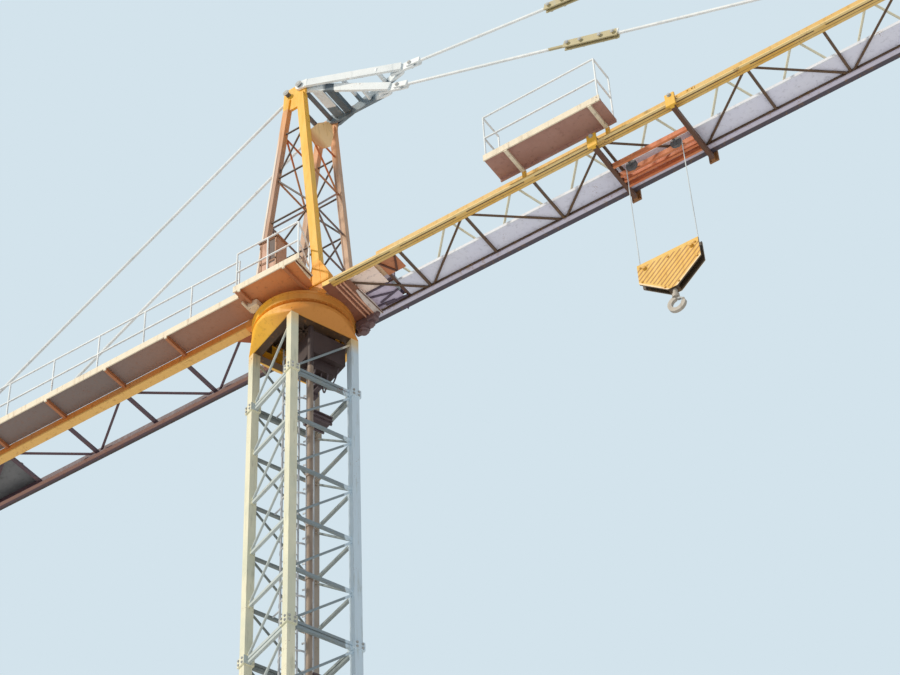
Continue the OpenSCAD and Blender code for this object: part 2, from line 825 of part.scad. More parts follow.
module jib_catwalk() {
    x0 = jib_x + panel/2 + winch_half + winch_beam;
    l = jib_x + panels*panel - x0 - 10;
    color("thistle") translate([x0, catwalk_y, lace_z + jib_lace/2]) {
        cube([l, catwalk_w, deck_plate]);
        cube([l, 2, deck_plate + 4]);
    }
}

// Top and middle rail from plan point p to q over height z, with evenly spaced posts
module rail_run(p, q, z, h, posts) {
    for (r = [h/2, h]) bar([p[0], p[1], z + r], [q[0], q[1], z + r], rail_d);
    for (k = [0:posts - 1]) {
        at = p + k/(posts - 1)*(q - p);
        translate([at[0], at[1], z]) cylinder(d = rail_d, h = h, $fn = 6);
    }
}

service_in = -jib_y - 8;
service_out = service_in - service_w;
service_z = frame_z + jib_chord + clamp_h;

module service_platform() {
    color("rosybrown") {
        translate([service_x, service_out, service_z]) cube([service_l, service_w, deck_plate]);
        translate([service_x, service_out, service_z - fascia_drop]) cube([service_l, fascia_t, fascia_h]);
        translate([service_x, service_in - stringer, service_z - stringer_h + 0.5])
            cube([service_l, stringer, stringer_h]);
        for (x = [service_x + 46, service_x + service_l - 27]) {
            translate([x, service_out + 1, service_z - strap_h])
                cube([strap_w, service_w + 7, strap_h + 0.5]);
            translate([x, -jib_y - jib_chord/2, frame_z + jib_chord]) cube([strap_w, 6, clamp_h]);
        }
    }
}

module service_handrail() {
    y = service_out + fascia_t + rail_d/2 + touch;
    z = service_z + deck_plate;
    c = [for (p = [[service_x + 4, service_in - 4], [service_x + 4, y], [service_x + service_l - 4, y],
        [service_x + service_l - 4, service_in - 4]]) p];
    color("azure") for (k = [0:2]) rail_run(c[k], c[k + 1], z, service_rail_h, 2);
}

module counter_jib_frame() {
    color("darkorange") {
        for (s = [-1, 1]) {
            beam_x(-counter_len, -root_x, s*head_y, frame_z, longeron_w, longeron_h);
            beam_x(weights_x + weights*weight_pitch + 9, -root_x, s*(head_y + (longeron_w - flange_w)/2), frame_z,
                flange_w, root_plate_t);
        }
        for (k = [0:counter_bays]) beam_y(-root_x - 8 - k*counter_pitch, -head_y, head_y, frame_z + 6, 7, 7);
        beam_y(weights_x + weights*weight_pitch + 4, -head_y, head_y, frame_z + 6, 7, 7);
        beam_y(-counter_len + 5, -head_y, head_y, frame_z, 10, longeron_h);
        for (s = [-1, 1]) {
            translate([tie_x - 10, s*(head_y - eye_t/2 - touch - 1.5) - 1.5, frame_top - 1])
                cube([20, 3, tie_z - frame_top + 9]);
            translate([tie_x, s*(head_y - eye_t), tie_z]) rotate([-s*90, 0, 0])
                cylinder(d = tie_pin_d, h = 2*eye_t, $fn = 20);
        }
        for (k = [0:counter_bays - 1]) {
            x = -root_x - 8 - k*counter_pitch;
            f = k % 2 == 0 ? 1 : -1;
            bar([x, -f*head_y, frame_z + 9.5], [x - counter_pitch, f*head_y, frame_z + 9.5], 6);
        }
    }
}

walk_in = -head_y - max(longeron_w, near_leg)/2 - touch;
walk_x0 = -counter_len*0.8;
side_x0 = -67;
side_x1 = 98;
side_cut = 26;
walk_z = frame_top;
walk_z1 = walk_z + deck_plate;

// Walkway along the counter jib and the wider platform beside the head, on bracket arms
module walkway() {
    side_out = walk_in - side_w;
    color("sienna") {
        translate([0, 0, walk_z]) linear_extrude(deck_plate)
            polygon([[side_x0, side_out], [side_x1, side_out], [side_x1 - side_cut, walk_in],
                [side_x0, walk_in]]);
        translate([side_x0, side_out, walk_z - fascia_drop]) cube([side_x1 - side_x0, fascia_t, fascia_h]);
        translate([walk_x0, walk_in - walk_w, walk_z])
            cube([side_x0 - walk_x0, walk_w + leg_step, deck_plate]);
        translate([walk_x0, walk_in - walk_w, walk_z - fascia_drop])
            cube([side_x0 - walk_x0, fascia_t, fascia_h]);
        for (x = [side_x0 + 12, side_x1 - side_cut - 16]) translate([x, side_out, walk_z - arm_drop])
            cube([arm_w, side_w + walk_gap, arm_drop + 0.5]);
        for (k = [1:counter_bays - 1])
            translate([-root_x - k*counter_pitch, walk_in - walk_w, walk_z - arm_drop])
                cube([arm_w, walk_w + walk_gap, arm_drop + 0.5]);
    }
}

module walkway_handrail() {
    side_y = walk_in - side_w + fascia_t + rail_d;
    walk_y = walk_in - walk_w + fascia_t + rail_d;
    color("azure") {
        rail_run([side_x0 + 4, side_y], [side_x1 - 6, side_y], walk_z1, rail_h, 3);
        rail_run([side_x1 - 6, side_y], [side_x1 - side_cut - 6, walk_in - 4], walk_z1, rail_h, 2);
        rail_run([walk_x0 + 4, walk_y], [side_x0 - 4, walk_y], walk_z1, rail_h, 9);
        rail_run([walk_x0 + 4, walk_y], [walk_x0 + 4, walk_in - 4], walk_z1, rail_h, 2);
    }
}

module control_cabinet() {
    color("chocolate") translate([-cabinet_w*0.72, walk_in - cabinet_depth - 8, walk_z1])
        cube([cabinet_w, cabinet_depth, cabinet_h]);
}

module counterweights() {
    body = head_w - longeron_w - 2;
    color("lightgray") for (k = [0:weights - 1]) translate([weights_x + k*weight_pitch, 0, 0]) {
        translate([0, -body/2, frame_z - 90]) cube([weight_t, body, longeron_h + 102]);
        translate([0, -head_y - 2, frame_top]) cube([weight_t, head_w + 4, 12]);
    }
}

module hoist_winch() {
    x = -counter_len*0.62;
    z = frame_top;
    color("slategray") {
        translate([x - 70, -head_y, z]) cube([140, head_w, 6]);
        translate([x, -38, z + 34]) rotate([-90, 0, 0]) cylinder(d = 46, h = 76, $fn = 48);
        for (s = [-1, 1]) translate([x - 30, s*41 - 3, z]) cube([60, 6, 62]);
        translate([x - 66, -24, z + 5]) cube([30, 48, 8]);
        translate([x - 50, -30, z + 28]) rotate([-90, 0, 0]) cylinder(d = 32, h = 60, $fn = 40);
    }
}

beam_z = frame_z - 6 - trolley_beam;
sheave_z = frame_z - 6 - sheave_d/2;
wheel_z = frame_z + ledge_t + touch + wheel_d/2;
wheel_y = jib_y + jib_chord/2 + 1 + wheel_w/2;
cheek_y = jib_y + jib_chord/2 + ledge_w + 5;
sheave_x = (rope_span - sheave_d)/2;
trolley_rows = [-14, 14, 29, 44];
trolley_end = 8;

// Two end beams with wheel brackets outside the chords, joined by four lengthwise bars
module trolley_frame() {
    half = trolley_base/2;
    color("tomato") translate([trolley_x, 0, 0]) {
        for (y = trolley_rows) beam_x(-half, half, y, beam_z, trolley_bar, trolley_beam);
        for (e = [-1, 1]) {
            beam_y(e*half, -cheek_y - 2, cheek_y + 2, beam_z, trolley_end, trolley_beam);
            for (s = [-1, 1]) {
                translate([e*half - 10, s*(cheek_y + 2) - 2, beam_z]) cube([20, 4, wheel_z - beam_z + 5]);
                translate([e*half, s*(cheek_y + 1), wheel_z]) rotate([s*90, 0, 0])
                    cylinder(d = 5, h = cheek_y - wheel_y + 2, $fn = 16);
            }
        }
    }
}

module trolley_wheels() {
    color("dimgray") for (s = [-1, 1], e = [-1, 1])
        translate([trolley_x + e*trolley_base/2, s*wheel_y - wheel_w/2, wheel_z]) rotate([-90, 0, 0])
            difference() {
                cylinder(d = wheel_d, h = wheel_w, $fn = 32);
                translate([0, 0, -1]) cylinder(d = 5.6, h = wheel_w + 2, $fn = 24);
            }
}

// Rope sheave with its axis along Y; the rope's middle runs at the rim's radius
module sheave() {
    r = sheave_d/2;
    g = rope_d/2 + touch;
    w = sheave_w/2;
    rotate([90, 0, 0]) rotate_extrude($fn = 40)
        polygon([[2, -w], [r, -w], [r, -1.5*g], [r - g, -0.6*g], [r - g, 0.6*g], [r, 1.5*g], [r, w],
            [2, w]]);
}

module trolley_sheaves() {
    l = 2*(trolley_rows[1] - trolley_bar/2) - 0.2;
    color("gray") for (e = [-1, 1]) translate([trolley_x + e*sheave_x, 0, sheave_z]) {
        sheave();
        rotate([90, 0, 0]) cylinder(d = 5, h = l, center = true, $fn = 20);
    }
}

block_top = jib_z - hook_drop;
block_sheave_z = block_top - 17;

module hoist_ropes() {
    color("silver") for (e = [-1, 1]) translate([trolley_x + e*rope_span/2, 0, block_sheave_z])
        cylinder(d = rope_d, h = sheave_z - block_sheave_z, $fn = 12);
}

module hook_block() {
    w = block_w/2;
    color("gold") translate([trolley_x, 0, block_top]) {
        for (s = [-1, 1]) translate([0, s*(block_t - plate_t)/2 + plate_t/2, 0]) rotate([90, 0, 0])
            linear_extrude(plate_t)
                polygon([[-w, -2], [w, -2], [w, -block_side], [10, -block_depth], [-10, -block_depth],
                    [-w, -block_side]]);
        translate([-10, -block_t/2 + 1, -block_depth]) cube([20, block_t - 2, 12]);
    }
}

module block_sheaves() {
    color("gray") for (e = [-1, 1]) translate([trolley_x + e*sheave_x, 0, block_sheave_z]) {
        sheave();
        rotate([90, 0, 0]) cylinder(d = 5, h = block_t - 2*plate_t - 0.2, center = true, $fn = 20);
    }
}

module hook() {
    z = block_top - block_depth;
    color("lightgray") translate([trolley_x, 0, z]) {
        translate([0, 0, -20]) cylinder(d = 9, h = 20 - touch, $fn = 24);
        translate([0, 0, -20]) cylinder(d = 14, h = 8, $fn = 24);
        translate([0, hook_t/2, -hook_low]) rotate([90, 0, 0]) difference() {
            cylinder(d = hook_d, h = hook_t, $fn = 40);
            translate([0, 0, -1]) cylinder(d = hook_hole, h = hook_t + 2, $fn = 40);
            translate([0, 0, -1]) cube([hook_d, hook_d, hook_t + 2]);
        }
        translate([(hook_d + hook_hole)/4, 0, -hook_low - 1])
            cylinder(d1 = hook_tip_d, d2 = hook_tip_d/2, h = 9, $fn = 24);
    }
}

anchor_cross();
mast_base_section();
mast_section(section_z, section_bays);  // mast_section_1
mast_section(section_z + section_l, section_bays);  // mast_section_2
mast_section(section_z + 2*section_l, section_bays);  // mast_section_3
mast_section(section_z + 3*section_l, section_bays);  // mast_section_4
mast_head_section();
mast_ladder();
cable_conduit();
ring_collar();
slewing_ring();
turntable();
slewing_frame();
head_near_frame();
head_far_frame();
head_cross_bracing();
head_plate();
head_axle();
outer_yoke();
inner_yoke();
jib_pendants();
counter_ties();
jib_root();
trolley_winch();
jib_section_1();
jib_section_2();
jib_section_3();
jib_section_4();
jib_section_5();
jib_catwalk();
service_platform();
service_handrail();
counter_jib_frame();
walkway();
walkway_handrail();
control_cabinet();
counterweights();
hoist_winch();
trolley_frame();
trolley_wheels();
trolley_sheaves();
hoist_ropes();
hook_block();
block_sheaves();
hook();
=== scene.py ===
# Tower crane with a saddle jib, a 1:10 scale model in metres: the looks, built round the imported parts.
import math
import bpy
import numpy as np
from mathutils import Matrix, Vector


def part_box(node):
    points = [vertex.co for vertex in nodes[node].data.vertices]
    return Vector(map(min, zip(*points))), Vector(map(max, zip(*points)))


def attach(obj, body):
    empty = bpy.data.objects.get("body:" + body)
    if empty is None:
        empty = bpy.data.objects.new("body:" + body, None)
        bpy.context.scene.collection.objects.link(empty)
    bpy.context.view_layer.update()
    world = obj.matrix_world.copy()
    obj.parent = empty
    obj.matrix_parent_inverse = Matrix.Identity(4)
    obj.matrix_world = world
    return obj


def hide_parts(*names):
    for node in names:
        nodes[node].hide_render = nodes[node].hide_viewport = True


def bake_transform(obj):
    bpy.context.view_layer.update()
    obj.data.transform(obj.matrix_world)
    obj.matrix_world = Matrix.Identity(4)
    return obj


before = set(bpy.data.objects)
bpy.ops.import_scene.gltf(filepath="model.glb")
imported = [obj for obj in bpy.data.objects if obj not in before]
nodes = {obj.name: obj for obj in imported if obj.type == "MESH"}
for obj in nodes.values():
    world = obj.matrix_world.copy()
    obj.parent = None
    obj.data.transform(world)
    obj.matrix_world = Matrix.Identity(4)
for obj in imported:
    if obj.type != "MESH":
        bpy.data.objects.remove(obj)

MM = 0.001
X, Y, Z = (1, 0, 0), (0, 1, 0), (0, 0, 1)
back_x, back_y, back_z = (-1, 0, 0), (0, -1, 0), (0, 0, -1)
upward = np.array((0, 0, 1.0))
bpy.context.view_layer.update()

# The photographer's place: on the ground beside the foot of the mast, looking up at the tower head.
# The lens is longer than the photograph's by the share of the frame that its picture leaves empty.
eye = Vector((1.986, -2.694, 0.160))
turn, pitch, roll = (math.radians(a) for a in (31.3, 45.24, -3.16))
photo_lens = 52.6
picture_height, frame_height = 380, 675
level_right = Vector((math.cos(turn), math.sin(turn), 0))
ahead = Vector((-math.sin(turn)*math.cos(pitch), math.cos(turn)*math.cos(pitch), math.sin(pitch)))
level_up = level_right.cross(ahead)
right = math.cos(roll)*level_right + math.sin(roll)*level_up
up = math.cos(roll)*level_up - math.sin(roll)*level_right
camera = bpy.data.objects.new("camera", bpy.data.cameras.new("camera"))
bpy.context.scene.collection.objects.link(camera)
bpy.context.scene.camera = camera
camera.matrix_world = Matrix.Translation(eye) @ Matrix((right, up, -ahead)).transposed().to_4x4()
camera.data.sensor_width = 36
camera.data.lens = photo_lens*frame_height/picture_height
camera.data.clip_end = 400
bpy.context.scene.view_settings.view_transform = "Standard"


# Daylight: a sun from the left behind the camera, as the bright left faces of the mast show,
# and an even sky. The background is a plain pale blue-grey that only the camera and gloss see.
def linear(colour):
    """The linear red, green, blue and alpha of an sRGB hex value."""
    share = np.array([int(colour[k:k + 2], 16) for k in (1, 3, 5)])/255
    return (*np.where(share <= 0.04045, share/12.92, ((share + 0.055)/1.055)**2.4).tolist(), 1.0)


def add(tree, kind, inputs=None, **attributes):
    """Adds one shader node, with its attributes, and its inputs as values or as links from other nodes."""
    node = tree.nodes.new("ShaderNode" + kind)
    for name, value in attributes.items():
        setattr(node, name, value)
    for key, value in (inputs or {}).items():
        if isinstance(value, bpy.types.NodeSocket):
            tree.links.new(value, node.inputs[key])
        else:
            node.inputs[key].default_value = value
    return node


sun_from = Vector((-0.42, -0.80, 0.62))
sun = bpy.data.objects.new("sun", bpy.data.lights.new("sun", "SUN"))
sun.data.energy = 2.45
sun.data.angle = math.radians(6)
sun.data.color = linear("#FFF4E2")[:3]
sun.rotation_mode = "QUATERNION"
sun.rotation_quaternion = sun_from.to_track_quat("Z", "Y")
bpy.context.scene.collection.objects.link(sun)
world = bpy.data.worlds.new("sky")
bpy.context.scene.world = world
world.use_nodes = True
world.node_tree.nodes.clear()
path = add(world.node_tree, "LightPath")
seen = add(world.node_tree, "Math", {0: path.outputs["Is Camera Ray"], 1: path.outputs["Is Glossy Ray"]},
           operation="MAXIMUM")
even = add(world.node_tree, "Background", {"Color": linear("#DDE8F4"), "Strength": 0.52})
backdrop = add(world.node_tree, "Background", {"Color": linear("#D3E3EC"), "Strength": 1.0})
either = add(world.node_tree, "MixShader", {0: seen.outputs[0], 1: even.outputs[0], 2: backdrop.outputs[0]})
add(world.node_tree, "OutputWorld", {0: either.outputs[0]})


def new_piece(name, vertices, faces, material):
    """A mesh object with its place in its vertices."""
    mesh = bpy.data.meshes.new(name)
    mesh.from_pydata(np.reshape(vertices, (-1, 3)).tolist(), [], faces)
    mesh.materials.append(material)
    piece = bpy.data.objects.new(name, mesh)
    bpy.context.scene.collection.objects.link(piece)
    return piece


# The pale floor that the model stands on. It bounces light up to the undersides.
floor_half = 120
floor_paint = bpy.data.materials.new("floor")
floor_paint.use_nodes = True
floor_paint.node_tree.nodes["Principled BSDF"].inputs["Base Color"].default_value = linear("#F2F0EC")
floor_paint.node_tree.nodes["Principled BSDF"].inputs["Roughness"].default_value = 0.9
corners = np.array([(-1, -1, 0), (1, -1, 0), (1, 1, 0), (-1, 1, 0)])*floor_half
floor = new_piece("floor", corners, [[0, 1, 2, 3]], floor_paint)


# Cream alkyd paint sprayed on the mast's welded box steel. It has gone chalky, with grey streaks
# below the joints and small rust spots where chips reached the steel.
def within(tree, place, tests):
    """1 where all tests hold, else 0. A test is a direction and two distances in mm: along the direction the
    share climbs from 0 at the first distance to 1 at the second. With a middle and a period, the distance is
    counted from the nearest of the places that lie a period apart."""
    share = None
    for direction, low, high, *repeat in tests:
        along = add(tree, "VectorMath", {0: place, 1: direction}, operation="DOT_PRODUCT").outputs["Value"]
        if repeat:
            moved = add(tree, "Math", {0: along, 1: repeat[0]*MM}, operation="SUBTRACT")
            along = add(tree, "Math", {0: moved.outputs[0], 1: repeat[1]*MM/2}, operation="PINGPONG").outputs[0]
        step = add(tree, "MapRange", {0: along, 1: low*MM, 2: high*MM})
        share = step.outputs[0] if share is None else add(tree, "Math", {0: share, 1: step.outputs[0]},
                                                          operation="MULTIPLY").outputs[0]
    return share


def weathered_paint(name, paint, faded, grime, rust, streak_mm=9, chip_mm=2.4, rough=0.5, areas=()):
    """Paint over steel: noise fades it, long upright noise streaks it, and the peaks of a fine noise are rust.
    Areas are parts of a piece given another colour, each a colour and the tests that bound it; many of them are
    painted light or shade."""
    material = bpy.data.materials.new(name)
    material.use_nodes = True
    tree = material.node_tree
    tree.nodes.clear()
    place = add(tree, "TexCoord").outputs["Object"]
    fade = add(tree, "TexNoise", {"Vector": place, "Scale": 1/(110*MM), "Detail": 4.0, "Roughness": 0.6})
    fade_share = add(tree, "MapRange", {0: fade.outputs[0], 1: 0.38, 2: 0.66}, interpolation_type="SMOOTHSTEP")
    tall = add(tree, "Mapping", {0: place, 3: (1.0, 1.0, 0.12)}, vector_type="POINT")
    streak = add(tree, "TexNoise", {"Vector": tall.outputs[0], "Scale": 1/(streak_mm*MM), "Detail": 5.0,
                                    "Roughness": 0.65})
    streak_share = add(tree, "MapRange", {0: streak.outputs[0], 1: 0.52, 2: 0.78, 3: 0.0, 4: 0.55},
                       interpolation_type="SMOOTHSTEP")
    chip = add(tree, "TexNoise", {"Vector": place, "Scale": 1/(chip_mm*MM), "Detail": 3.0, "Roughness": 0.5})
    patch = add(tree, "TexNoise", {"Vector": place, "Scale": 1/(45*MM), "Detail": 2.0})
    chip_height = add(tree, "Math", {0: chip.outputs[0], 1: patch.outputs[0]}, operation="ADD")
    chip_share = add(tree, "MapRange", {0: chip_height.outputs[0], 1: 1.28, 2: 1.34, 4: 0.7})
    coat = add(tree, "Mix", {0: fade_share.outputs[0], 6: linear(paint), 7: linear(faded)}, data_type="RGBA")
    for colour, tests in areas:
        coat = add(tree, "Mix", {0: within(tree, place, tests), 6: coat.outputs[2], 7: linear(colour)},
                   data_type="RGBA")
    dirty = add(tree, "Mix", {0: streak_share.outputs[0], 6: coat.outputs[2], 7: linear(grime)}, data_type="RGBA")
    worn = add(tree, "Mix", {0: chip_share.outputs[0], 6: dirty.outputs[2], 7: linear(rust)}, data_type="RGBA")
    dull = add(tree, "MapRange", {0: streak.outputs[0], 3: rough - 0.12, 4: rough + 0.25})
    relief = add(tree, "Bump", {"Strength": 0.35, "Distance": 0.3*MM, "Height": chip.outputs[0]})
    shader = add(tree, "BsdfPrincipled", {"Base Color": worn.outputs[2], "Roughness": dull.outputs[0],
                                          "Normal": relief.outputs[0]})
    add(tree, "OutputMaterial", {0: shader.outputs[0]})
    return material


def dress(material, *names):
    """Gives CAD nodes their finish."""
    for name in names:
        nodes[name].data.materials.clear()
        nodes[name].data.materials.append(material)


mast_turn = math.radians(-21.2)
east, north = (np.array((math.cos(a), math.sin(a), 0)) for a in (mast_turn, mast_turn + math.pi/2))
far_corner, right_corner = (north - east)/math.sqrt(2), (north + east)/math.sqrt(2)
# Painted light and shade on the mast: the bracing of each face has its own tone, pale blue-white on the sunlit left
# face and blue-grey to dark grey on the shaded faces; the far corner post is brown-grey, painted shade; the right
# corner post is pale blue-white, painted sky light on its shaded side; and a warmer, darker cream band just below the
# collar is painted shade.
mast_paint = weathered_paint("cream_alkyd_paint", "#E9E6CC", "#DADBC4", "#9A9A86", "#8A5A38", areas=[
    ("#87949A", [(east, 66, 67), (north, -61, -60), (-north, -61, -60)]),
    ("#8C9696", [(north, 66, 67), (east, -61, -60), (-east, -61, -60)]),
    ("#BFC9C8", [(-north, 66, 67), (east, -61, -60), (-east, -61, -60)]),
    ("#7E8686", [(-east, 66, 67), (north, -61, -60), (-north, -61, -60)]),
    ("#A79A8C", [(far_corner, 84, 86)]),
    ("#D0E2EE", [(right_corner, 84, 86)]),
    ("#E8CE9C", [(upward, 3470, 3500)])])
sections = ["mast_section_1", "mast_section_2", "mast_section_3", "mast_section_4"]
dress(mast_paint, "anchor_cross", "mast_base_section", "mast_head_section", *sections)


def lofts(rings):
    """Closed solids from rings of points, in the order solid, ring, point: quads join each ring to the next and
    the first and last are filled. The points go anticlockwise, seen from beyond the last ring."""
    solids, levels, points = rings.shape[:3]
    index = np.arange(solids*levels*points).reshape(solids, levels, points)
    low, high = index[:, :-1], index[:, 1:]
    quads = np.stack([low, np.roll(low, -1, 2), np.roll(high, -1, 2), high], -1).reshape(-1, 4)
    caps = np.concatenate([index[:, 0, ::-1], index[:, -1]]).reshape(-1, points)
    return rings.reshape(-1, 3), quads.tolist() + caps.tolist()


def joined(*parts):
    """Several lists of vertices and faces as one."""
    vertices, faces, count = [], [], 0
    for points, sides in parts:
        vertices.append(points)
        faces += [[k + count for k in side] for side in sides]
        count += len(points)
    return np.concatenate(vertices), faces


def across(along):
    """Two unit vectors square to each direction and to each other, so that the three are right-handed."""
    helper = np.where(np.abs(along[:, 2:3]) < 0.9, [[0.0, 0.0, 1.0]], [[1.0, 0.0, 0.0]])
    side = np.cross(along, helper)
    side /= np.linalg.norm(side, axis=1, keepdims=True)
    return side, np.cross(along, side)


def turned(places, directions, profile, sides, start=0.0):
    """Solids of revolution: at each place a profile of (radius, height) pairs turns about a direction."""
    places, directions = np.atleast_2d(places).astype(float), np.atleast_2d(directions).astype(float)
    directions = np.broadcast_to(directions/np.linalg.norm(directions, axis=1, keepdims=True), places.shape)
    side, other = across(directions)
    angle = start + 2*math.pi*np.arange(sides)/sides
    spoke = np.cos(angle)[None, :, None]*side[:, None] + np.sin(angle)[None, :, None]*other[:, None]
    radius, height = np.array(profile, float).T
    rings = (places[:, None, None] + radius[None, :, None, None]*spoke[:, None]
             + height[None, :, None, None]*directions[:, None, None])
    return lofts(rings)


def hex_heads(places, directions, width):
    """Hexagon bolt heads on washers, standing on a surface."""
    r = width/2
    washer = turned(places, directions, [(1.35*r, -0.05*r), (1.35*r, 0.22*r)], 12)
    head = turned(places, directions, [(1.05*r, 0.2*r), (1.05*r, 0.95*r), (0.86*r, 1.15*r)], 6)
    return joined(washer, head)


def blocks(centres, ahead, side, size, bevel=0.3):
    """Boxes with bevelled edges. The size is the length ahead, the width to the side and the height, in mm."""
    centres, ahead, side = (np.atleast_2d(v).astype(float) for v in (centres, ahead, side))
    ahead = np.broadcast_to(ahead/np.linalg.norm(ahead, axis=1, keepdims=True), centres.shape)
    side = np.broadcast_to(side/np.linalg.norm(side, axis=1, keepdims=True), centres.shape)
    top = np.cross(ahead, side)
    long, wide, high = np.array(size)*MM/2
    b = bevel*MM
    rings = []
    for at, inset in ((-long, b), (b - long, 0), (long - b, 0), (long, b)):
        w, h = wide - inset, high - inset
        outline = [(w, h - b), (w - b, h), (b - w, h), (-w, h - b), (-w, b - h), (b - w, -h), (w - b, -h), (w, b - h)]
        rings.append([centres + at*ahead + y*side + z*top for y, z in outline])
    return lofts(np.array(rings).transpose(2, 0, 1, 3))


def strips(paths, high, thick):
    """Flat bars bent along level paths, given as solid, point, xyz; high upright and thick across."""
    paths = np.array(paths, float)
    tangent = np.gradient(paths, axis=1)
    tangent /= np.linalg.norm(tangent, axis=2, keepdims=True)
    side = np.cross([0, 0, 1.0], tangent)*thick*MM/2
    lift = np.array([0, 0, high*MM/2])
    return lofts(np.stack([paths + side - lift, paths + side + lift, paths - side + lift, paths - side - lift], 2))


def place_piece(name, parts, material, body, smooth=False):
    """A piece from joined parts, riding on its body."""
    vertices, faces = joined(*parts)
    piece = new_piece(name, vertices, faces, material)
    if smooth:
        piece.data.shade_smooth()
    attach(piece, body)
    return piece


# Bolted joints of the mast sections: heads on the two outward faces of each corner block.
bolt_steel = weathered_paint("galvanised_bolt_steel", "#B9BCBC", "#A3A6A6", "#6E6A62", "#7A5238", chip_mm=1.2)
block_side, block_height = 23*MM, 9*MM
chord_centre = 71.5*MM
joints = [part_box(name)[edge][2] for name in sections for edge in (0, 1)] + [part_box("mast_head_section")[0][2]]
spots, facing = [], []
for level in sorted(set(round(z, 4) for z in joints)):
    for shift in (-0.5, 0.5):
        for sx in (-1, 1):
            for sy in (-1, 1):
                corner = chord_centre*(sx*east + sy*north) + (level + shift*block_height)*upward
                for out, beside in ((sx*east, north), (sy*north, east)):
                    for step in (-1, 1):
                        spots.append(corner + out*block_side/2 + step*6*MM*beside)
                        facing.append(out)
place_piece("mast_joint_bolts", [hex_heads(spots, facing, 4.2*MM)], bolt_steel, "tower")

# Ladder: hot-dip galvanised tube, bright where boots and gloves rub it.
galvanised = weathered_paint("hot_dip_galvanised", "#C9CDD2", "#B2B6BE", "#83857F", "#8A6A50", rough=0.42)
dress(galvanised, "mast_ladder")
hoop_angle = np.radians(np.linspace(-128, 128, 17))
hoop_levels = np.arange(0.36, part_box("mast_ladder")[1][2] - 0.02, 0.125/2)
hoop = (-0.018 + 0.032*np.cos(hoop_angle))[:, None]*east + (0.032*np.sin(hoop_angle))[:, None]*north
hoops = strips([hoop + z*upward for z in hoop_levels], 4, 1.2)
cage_top, cage_low = hoop_levels[-1], hoop_levels[0]
strap_places = [hoop[k] + (cage_top + cage_low)/2*upward for k in (2, 5, 8, 11, 14)]
straps = blocks(strap_places, upward, north, ((cage_top - cage_low)/MM, 3, 1.2), 0.2)
place_piece("ladder_cage", [hoops, straps], galvanised, "tower")

# Cable conduit: brown plastic pipe clipped inside the mast, below the dark slip-ring housing.
conduit_plastic = weathered_paint("brown_pipe_plastic", "#8C7A6C", "#9A8A7C", "#5C4E44", "#6A5444", rough=0.55,
                                  areas=[("#3E2F2E", [(upward, 3399, 3400)])])
dress(conduit_plastic, "cable_conduit")

# Slewing collar, ring and turntable: orange paint. Painted shade turns it orange-brown towards the east side, and
# dark brown inside the collar and under the deck within the ring.
collar_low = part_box("ring_collar")[0][2]/MM
drum_low, deck_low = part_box("turntable")[0][2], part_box("turntable")[1][2] - 6*MM
sides_of_mast = (east, -east, north, -north)
ring_paint = weathered_paint("orange_alkyd_paint", "#FFC038", "#FFC04C", "#B06E2A", "#7A3E1C", areas=[
    ("#D08A3C", [(east, 10, 84)]),
    ("#4E3824", [(back_z, -deck_low/MM - 2, -deck_low/MM - 1), *((side, -67.4, -67) for side in sides_of_mast)]),
    ("#4E3824", [(back_z, -collar_low - 13, -collar_low - 12), *((side, -78.4, -78) for side in sides_of_mast)])])
# The slewing frame's underside at the far side is dark brown: painted shade.
frame_paint = weathered_paint("slewing_frame_paint", "#E8963A", "#DA9A56", "#9A5A22", "#7A3E1C", areas=[
    ("#7A4A2E", [(back_z, -3573.8, -3573.6), (Y, -53, -52)])])
dress(ring_paint, "ring_collar", "slewing_ring", "turntable")
dress(frame_paint, "slewing_frame")
# Counter jib: painted shade makes the far longeron and the lacing dark purple-brown, and the undersides at the far
# side mauve and near black; the upper part of the near longeron is paler yellow.
counter_paint = weathered_paint(
    "counter_jib_paint", "#DE8A3C", "#CF8F52", "#8A5428", "#6E3A1E",
    areas=[("#54404A", [(Y, -46, -45)]), ("#E9B868", [(back_y, 46, 46.2), (back_z, -3577.4, -3577)]),
           ("#9A7468", [(back_z, -3573.6, -3573.4), (Y, 45, 46), (back_y, -56, -54)]),
           ("#3E3434", [(back_z, -3573.6, -3573.4), (Y, 60, 62)])])
dress(counter_paint, "counter_jib_frame")
centre = np.zeros(3)
flange_low, flange_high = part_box("ring_collar")[1][2] - 6*MM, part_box("ring_collar")[1][2]
count = 48
angle = 2*math.pi*(np.arange(count) + 0.5)/count
circle = np.stack([np.cos(angle), np.sin(angle), 0*angle], 1)
ring_parts = [hex_heads(circle*101.5*MM + upward*drum_low, -upward, 3.4*MM),
              hex_heads(circle*101*MM + upward*(deck_low + 6*MM), upward, 3.6*MM)]
place_piece("turntable_bolts", ring_parts, ring_paint, "slewing_part")
# A dark disc with three ribs closes the ring under the turntable deck; its dark brown is painted shade.
shade_cover_paint = weathered_paint("painted_shade_underside", "#5A4334", "#6A5342", "#3E3026", "#5A3A24")
cover = turned(upward*(deck_low - 1.2*MM), upward, [(0.5*MM, 0), (70*MM, 0), (70*MM, 1*MM), (0.5*MM, 1*MM)], 48)
cover_ribs = blocks([upward*(deck_low - 3*MM)]*3, [(1, 0, 0), (0.5, 0.866, 0), (-0.5, 0.866, 0)],
                    [(0, 1, 0), (-0.866, 0.5, 0), (-0.866, -0.5, 0)], (136, 5, 4))
place_piece("turntable_dust_cover", [cover, cover_ribs], shade_cover_paint, "slewing_part")
